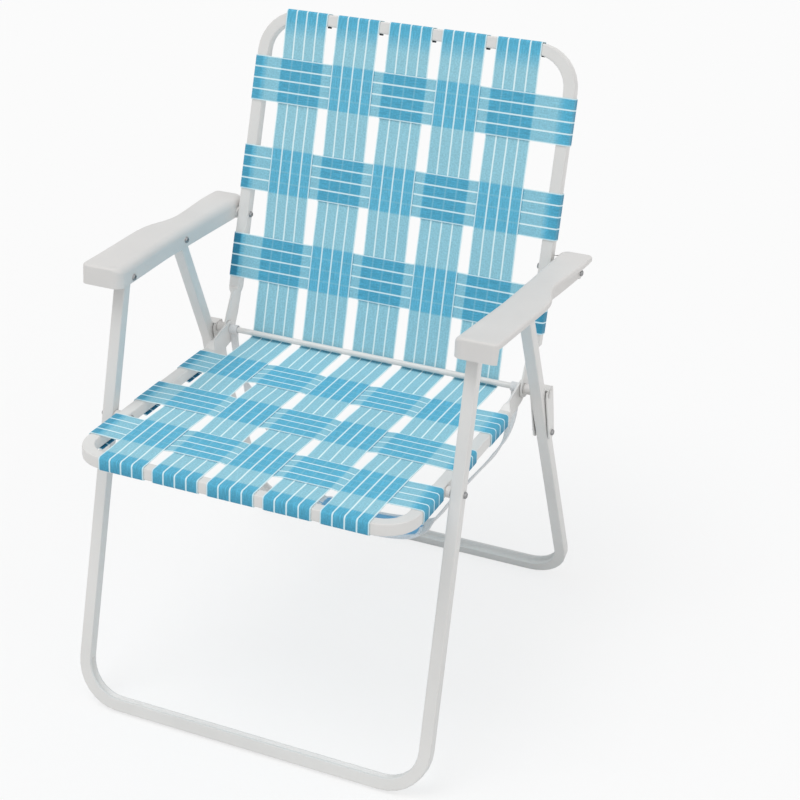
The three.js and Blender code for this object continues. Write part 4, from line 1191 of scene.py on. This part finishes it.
class LAWNCHAIR_OT_arms(Operator):
    """Makes the two moulded armrests: a deep inner wall and front, a thin outer lip and a wall inside it"""
    bl_idname = "lawn_chair.arms"
    bl_label = "Armrests"

    def execute(self, context):
        for side, name in ((-1, "left"), (1, "right")):
            shell = self.shell(side, f"moulded_arm_{name}")
            parts = [self.outer_wall(side), *(self.boss(side, *boss) for boss in ARM_BOSSES)]
            for part in parts:
                smooth(part, 40)
            smooth(shell, 40)
            select_only(shell)
            for part in parts:
                part.select_set(True)
            bpy.ops.object.join()
            apply_modifier(shell, "WEIGHTED_NORMAL", keep_sharp=True, weight=60)
            wear(shell, arm_plastic())
            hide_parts(f"armrest_{name}")
            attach(shell, "arms")
        return {"FINISHED"}

    def outline(self):
        """Round the arm from its inner rear corner: (sideways, ahead, edge's radius, depth of the wall)."""
        front, rear = ARM_FRONT, -ARM_REAR
        inner_front, outer_front, outer_rear, inner_rear = 0.012, 0.009, 0.007, 0.0125
        inner_x = along_edge(ARM_INNER_EDGE, front - inner_front) + inner_front
        outer_x = along_edge(ARM_OUTER_EDGE, front - outer_front) - outer_front
        inner_rear_x = along_edge(ARM_INNER_EDGE, rear) + inner_rear
        outer_rear_x = along_edge(ARM_OUTER_EDGE, rear) - outer_rear
        points = []

        def side(edge, start, end, count, fillet, depth):
            for i in range(count + 1):
                run = start + (end - start) * i / count
                points.append((along_edge(edge, run), run, fillet, depth))

        def corner(x, run, radius, begin, fillets, depths):
            for i in range(1, 7):
                angle = begin - math.pi / 2 * i / 7
                points.append((
                    x + radius * math.cos(angle), run + radius * math.sin(angle),
                    fillets[0] + (fillets[1] - fillets[0]) * i / 7, depths[0] if i < 5 else depths[1],
                ))

        def straight(start, end, run, count, depth):
            for i in range(count + 1):
                points.append((start + (end - start) * i / count, run, ARM_EDGE_FILLET, depth))

        sharp, deep, thin = (ARM_EDGE_FILLET,) * 2, (ARM_DEPTH,) * 2, (ARM_LIP,) * 2
        side(ARM_INNER_EDGE, rear + inner_rear, front - inner_front, 30, ARM_INNER_FILLET, ARM_DEPTH)
        corner(inner_x, front - inner_front, inner_front, math.pi, (ARM_INNER_FILLET, ARM_EDGE_FILLET), deep)
        straight(inner_x, outer_x, front, 5, ARM_DEPTH)
        corner(outer_x, front - outer_front, outer_front, math.pi / 2, sharp, (ARM_DEPTH, ARM_LIP))
        side(ARM_OUTER_EDGE, front - outer_front, rear + outer_rear, 40, ARM_EDGE_FILLET, ARM_LIP)
        corner(outer_rear_x, rear + outer_rear, outer_rear, 0, sharp, thin)
        straight(outer_rear_x, inner_rear_x, rear, 4, ARM_LIP)
        corner(
            inner_rear_x, rear + inner_rear, inner_rear, -math.pi / 2,
            (ARM_EDGE_FILLET, ARM_INNER_FILLET), (ARM_LIP, ARM_DEPTH),
        )
        return points

    def shell(self, side, name):
        """Rings round the outline: the wall's foot, the wall, the rounded edge, and the flat top."""
        outline = self.outline()
        count, steps = len(outline), 6
        bpy.ops.mesh.primitive_grid_add(x_subdivisions=count, y_subdivisions=steps + 1, size=2)
        obj = added(name)
        for vertex in obj.data.vertices:
            i = round((vertex.co.x + 1) / 2 * count) % count
            ring = round((vertex.co.y + 1) / 2 * (steps + 1))
            x, run, fillet, depth = outline[i]
            before, after = outline[i - 1], outline[(i + 1) % count]
            outward = Vector((-(after[1] - before[1]), after[0] - before[0])).normalized()
            angle = math.pi / 2 * max(ring - 1, 0) / steps
            inward = fillet * (1 - math.cos(angle))
            up = ARM_TOP - (depth if ring == 0 else fillet * (1 - math.sin(angle)))
            vertex.co = arm_point(side * (x - outward.x * inward), run - outward.y * inward, up)
        top = arm_point(0, 0, ARM_TOP)
        up = arm_point(0, 0, 1) - ARM_PIN
        with editing(obj):
            bpy.ops.mesh.remove_doubles(threshold=0.00002)
            select_points(obj, lambda place: abs((place - top).dot(up)) < 0.00001)
            bpy.ops.mesh.edge_face_add()
            bpy.ops.mesh.inset(thickness=0.003, depth=0)
            bpy.ops.mesh.select_all(action="SELECT")
            bpy.ops.mesh.normals_make_consistent(inside=False)
        apply_modifier(obj, "SOLIDIFY", thickness=ARM_WALL, offset=-1, use_even_offset=True)
        return obj

    def outer_wall(self, side):
        """The wall inside the lip, with its lower rear corner rounded."""
        bottom, top = ARM_TOP - ARM_DEPTH, ARM_TOP - ARM_WALL / 2
        rear, front, corner = -0.0085, ARM_FRONT - ARM_WALL / 2, 0.006
        stations = []
        runs = [rear + corner * (1 - math.cos(math.pi / 2 * i / 5)) for i in range(5)]
        runs += [rear + corner + (front - rear - corner) * i / 44 for i in range(45)]
        up = arm_point(0, 0, 1) - ARM_PIN
        for run in runs:
            into = max(rear + corner - run, 0)
            foot = bottom + corner - math.sqrt(max(corner**2 - into**2, 0))
            x = along_edge(ARM_WALL_LINE, run) - ARM_WALL / 2
            share = (top - foot) / (top - bottom)
            stations.append((arm_point(side * x, run, (foot + top) / 2), up * share, 0.0, -1.0))
        wall, _ = strap_mesh("arm_outer_wall", stations, top - bottom, ARM_WALL, (0.0, 0.5, 1.0))
        return wall

    def boss(self, side, start, end, ahead, up):
        """A round boss along X with a softened rim."""
        bpy.ops.mesh.primitive_cylinder_add(
            vertices=32, radius=ARM_BOSS_RADIUS, depth=end - start, rotation=(0, math.pi / 2, 0),
            location=arm_point(side * (start + end) / 2, ahead, up),
        )
        obj = bpy.context.object
        bpy.ops.object.transform_apply(location=True, rotation=True, scale=True)
        with editing(obj):
            select_faces(obj, lambda middle, normal: abs(normal.x) > 0.9)
            bpy.ops.mesh.bevel(offset=0.0006, segments=2, affect="EDGES")
        return obj


class LAWNCHAIR_OT_long_straps(Operator):
    """Weaves the five long straps from the top bar, behind the rod and along the seat to its front bar"""
    bl_idname = "lawn_chair.long_straps"
    bl_label = "Long straps"

    def execute(self, context):
        settings = context.scene.lawn_chair_webbing
        for strap in range(LONG_COUNT):
            stations = long_strap_stations(strap, settings.width)
            obj, length = strap_mesh(
                f"long_strap_{strap + 1}", stations, settings.width, settings.thickness
            )
            wear(obj, webbing())
            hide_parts(f"back_web_{strap + 1}", f"seat_web_{strap + 1}")
            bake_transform(obj)
        return {"FINISHED"}


class LAWNCHAIR_OT_cross_straps(Operator):
    """Weaves the three cross straps of the back and the three of the seat"""
    bl_idname = "lawn_chair.cross_straps"
    bl_label = "Cross straps"

    def execute(self, context):
        settings = context.scene.lawn_chair_webbing
        for body, side in (("back", BACK), ("seat", SEAT)):
            for i, row in enumerate(side.rows):
                places = long_places(side, row / side.run)
                zones = [(x, -passes_behind(strap, i + 1)) for strap, x in enumerate(places)]
                stations = cross_strap_stations(side, row, zones, side.side_shade_tones[i], settings.width)
                strap, length = strap_mesh(
                    f"{body}_cross_strap_{i + 1}", stations, settings.width, settings.thickness
                )
                wear(strap, webbing())
                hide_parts(f"{body}_cross_web_{i + 1}")
                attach(strap, body)
        return {"FINISHED"}


class LAWNCHAIR_PT_panel(Panel):
    """Lists the steps that dress the chair, and their settings"""
    bl_idname = "LAWNCHAIR_PT_panel"
    bl_label = "Lawn Chair"
    bl_space_type = "VIEW_3D"
    bl_region_type = "UI"
    bl_category = "Lawn Chair"

    def draw(self, context):
        for step in STEPS:
            self.layout.operator(step.bl_idname)
        for group in ("webbing", "finish", "carry", "stage"):
            settings = getattr(context.scene, f"lawn_chair_{group}")
            box = self.layout.box()
            box.label(text=group.title())
            for name in settings.__annotations__:
                box.prop(settings, name)


STEPS = (
    LAWNCHAIR_OT_stage,
    LAWNCHAIR_OT_carry_strap,
    LAWNCHAIR_OT_tubes,
    LAWNCHAIR_OT_hinges,
    LAWNCHAIR_OT_rivets,
    LAWNCHAIR_OT_screws,
    LAWNCHAIR_OT_arms,
    LAWNCHAIR_OT_long_straps,
    LAWNCHAIR_OT_cross_straps,
)
GROUPS = {
    "lawn_chair_webbing": LawnChairWebbing,
    "lawn_chair_finish": LawnChairFinish,
    "lawn_chair_carry": LawnChairCarry,
    "lawn_chair_stage": LawnChairStage,
}


def register():
    for group in GROUPS.values():
        bpy.utils.register_class(group)
    for step in (*STEPS, LAWNCHAIR_PT_panel):
        bpy.utils.register_class(step)
    for name, group in GROUPS.items():
        setattr(bpy.types.Scene, name, PointerProperty(type=group))


def unregister():
    for name in GROUPS:
        delattr(bpy.types.Scene, name)
    for step in reversed((*STEPS, LAWNCHAIR_PT_panel)):
        bpy.utils.unregister_class(step)
    for group in reversed(tuple(GROUPS.values())):
        bpy.utils.unregister_class(group)


def main():
    register()
    bpy.ops.lawn_chair.stage()
    bpy.ops.lawn_chair.carry_strap()
    bpy.ops.lawn_chair.tubes()
    bpy.ops.lawn_chair.hinges()
    bpy.ops.lawn_chair.rivets()
    bpy.ops.lawn_chair.screws()
    bpy.ops.lawn_chair.arms()
    bpy.ops.lawn_chair.long_straps()
    bpy.ops.lawn_chair.cross_straps()


if __name__ == "__main__":
    main()
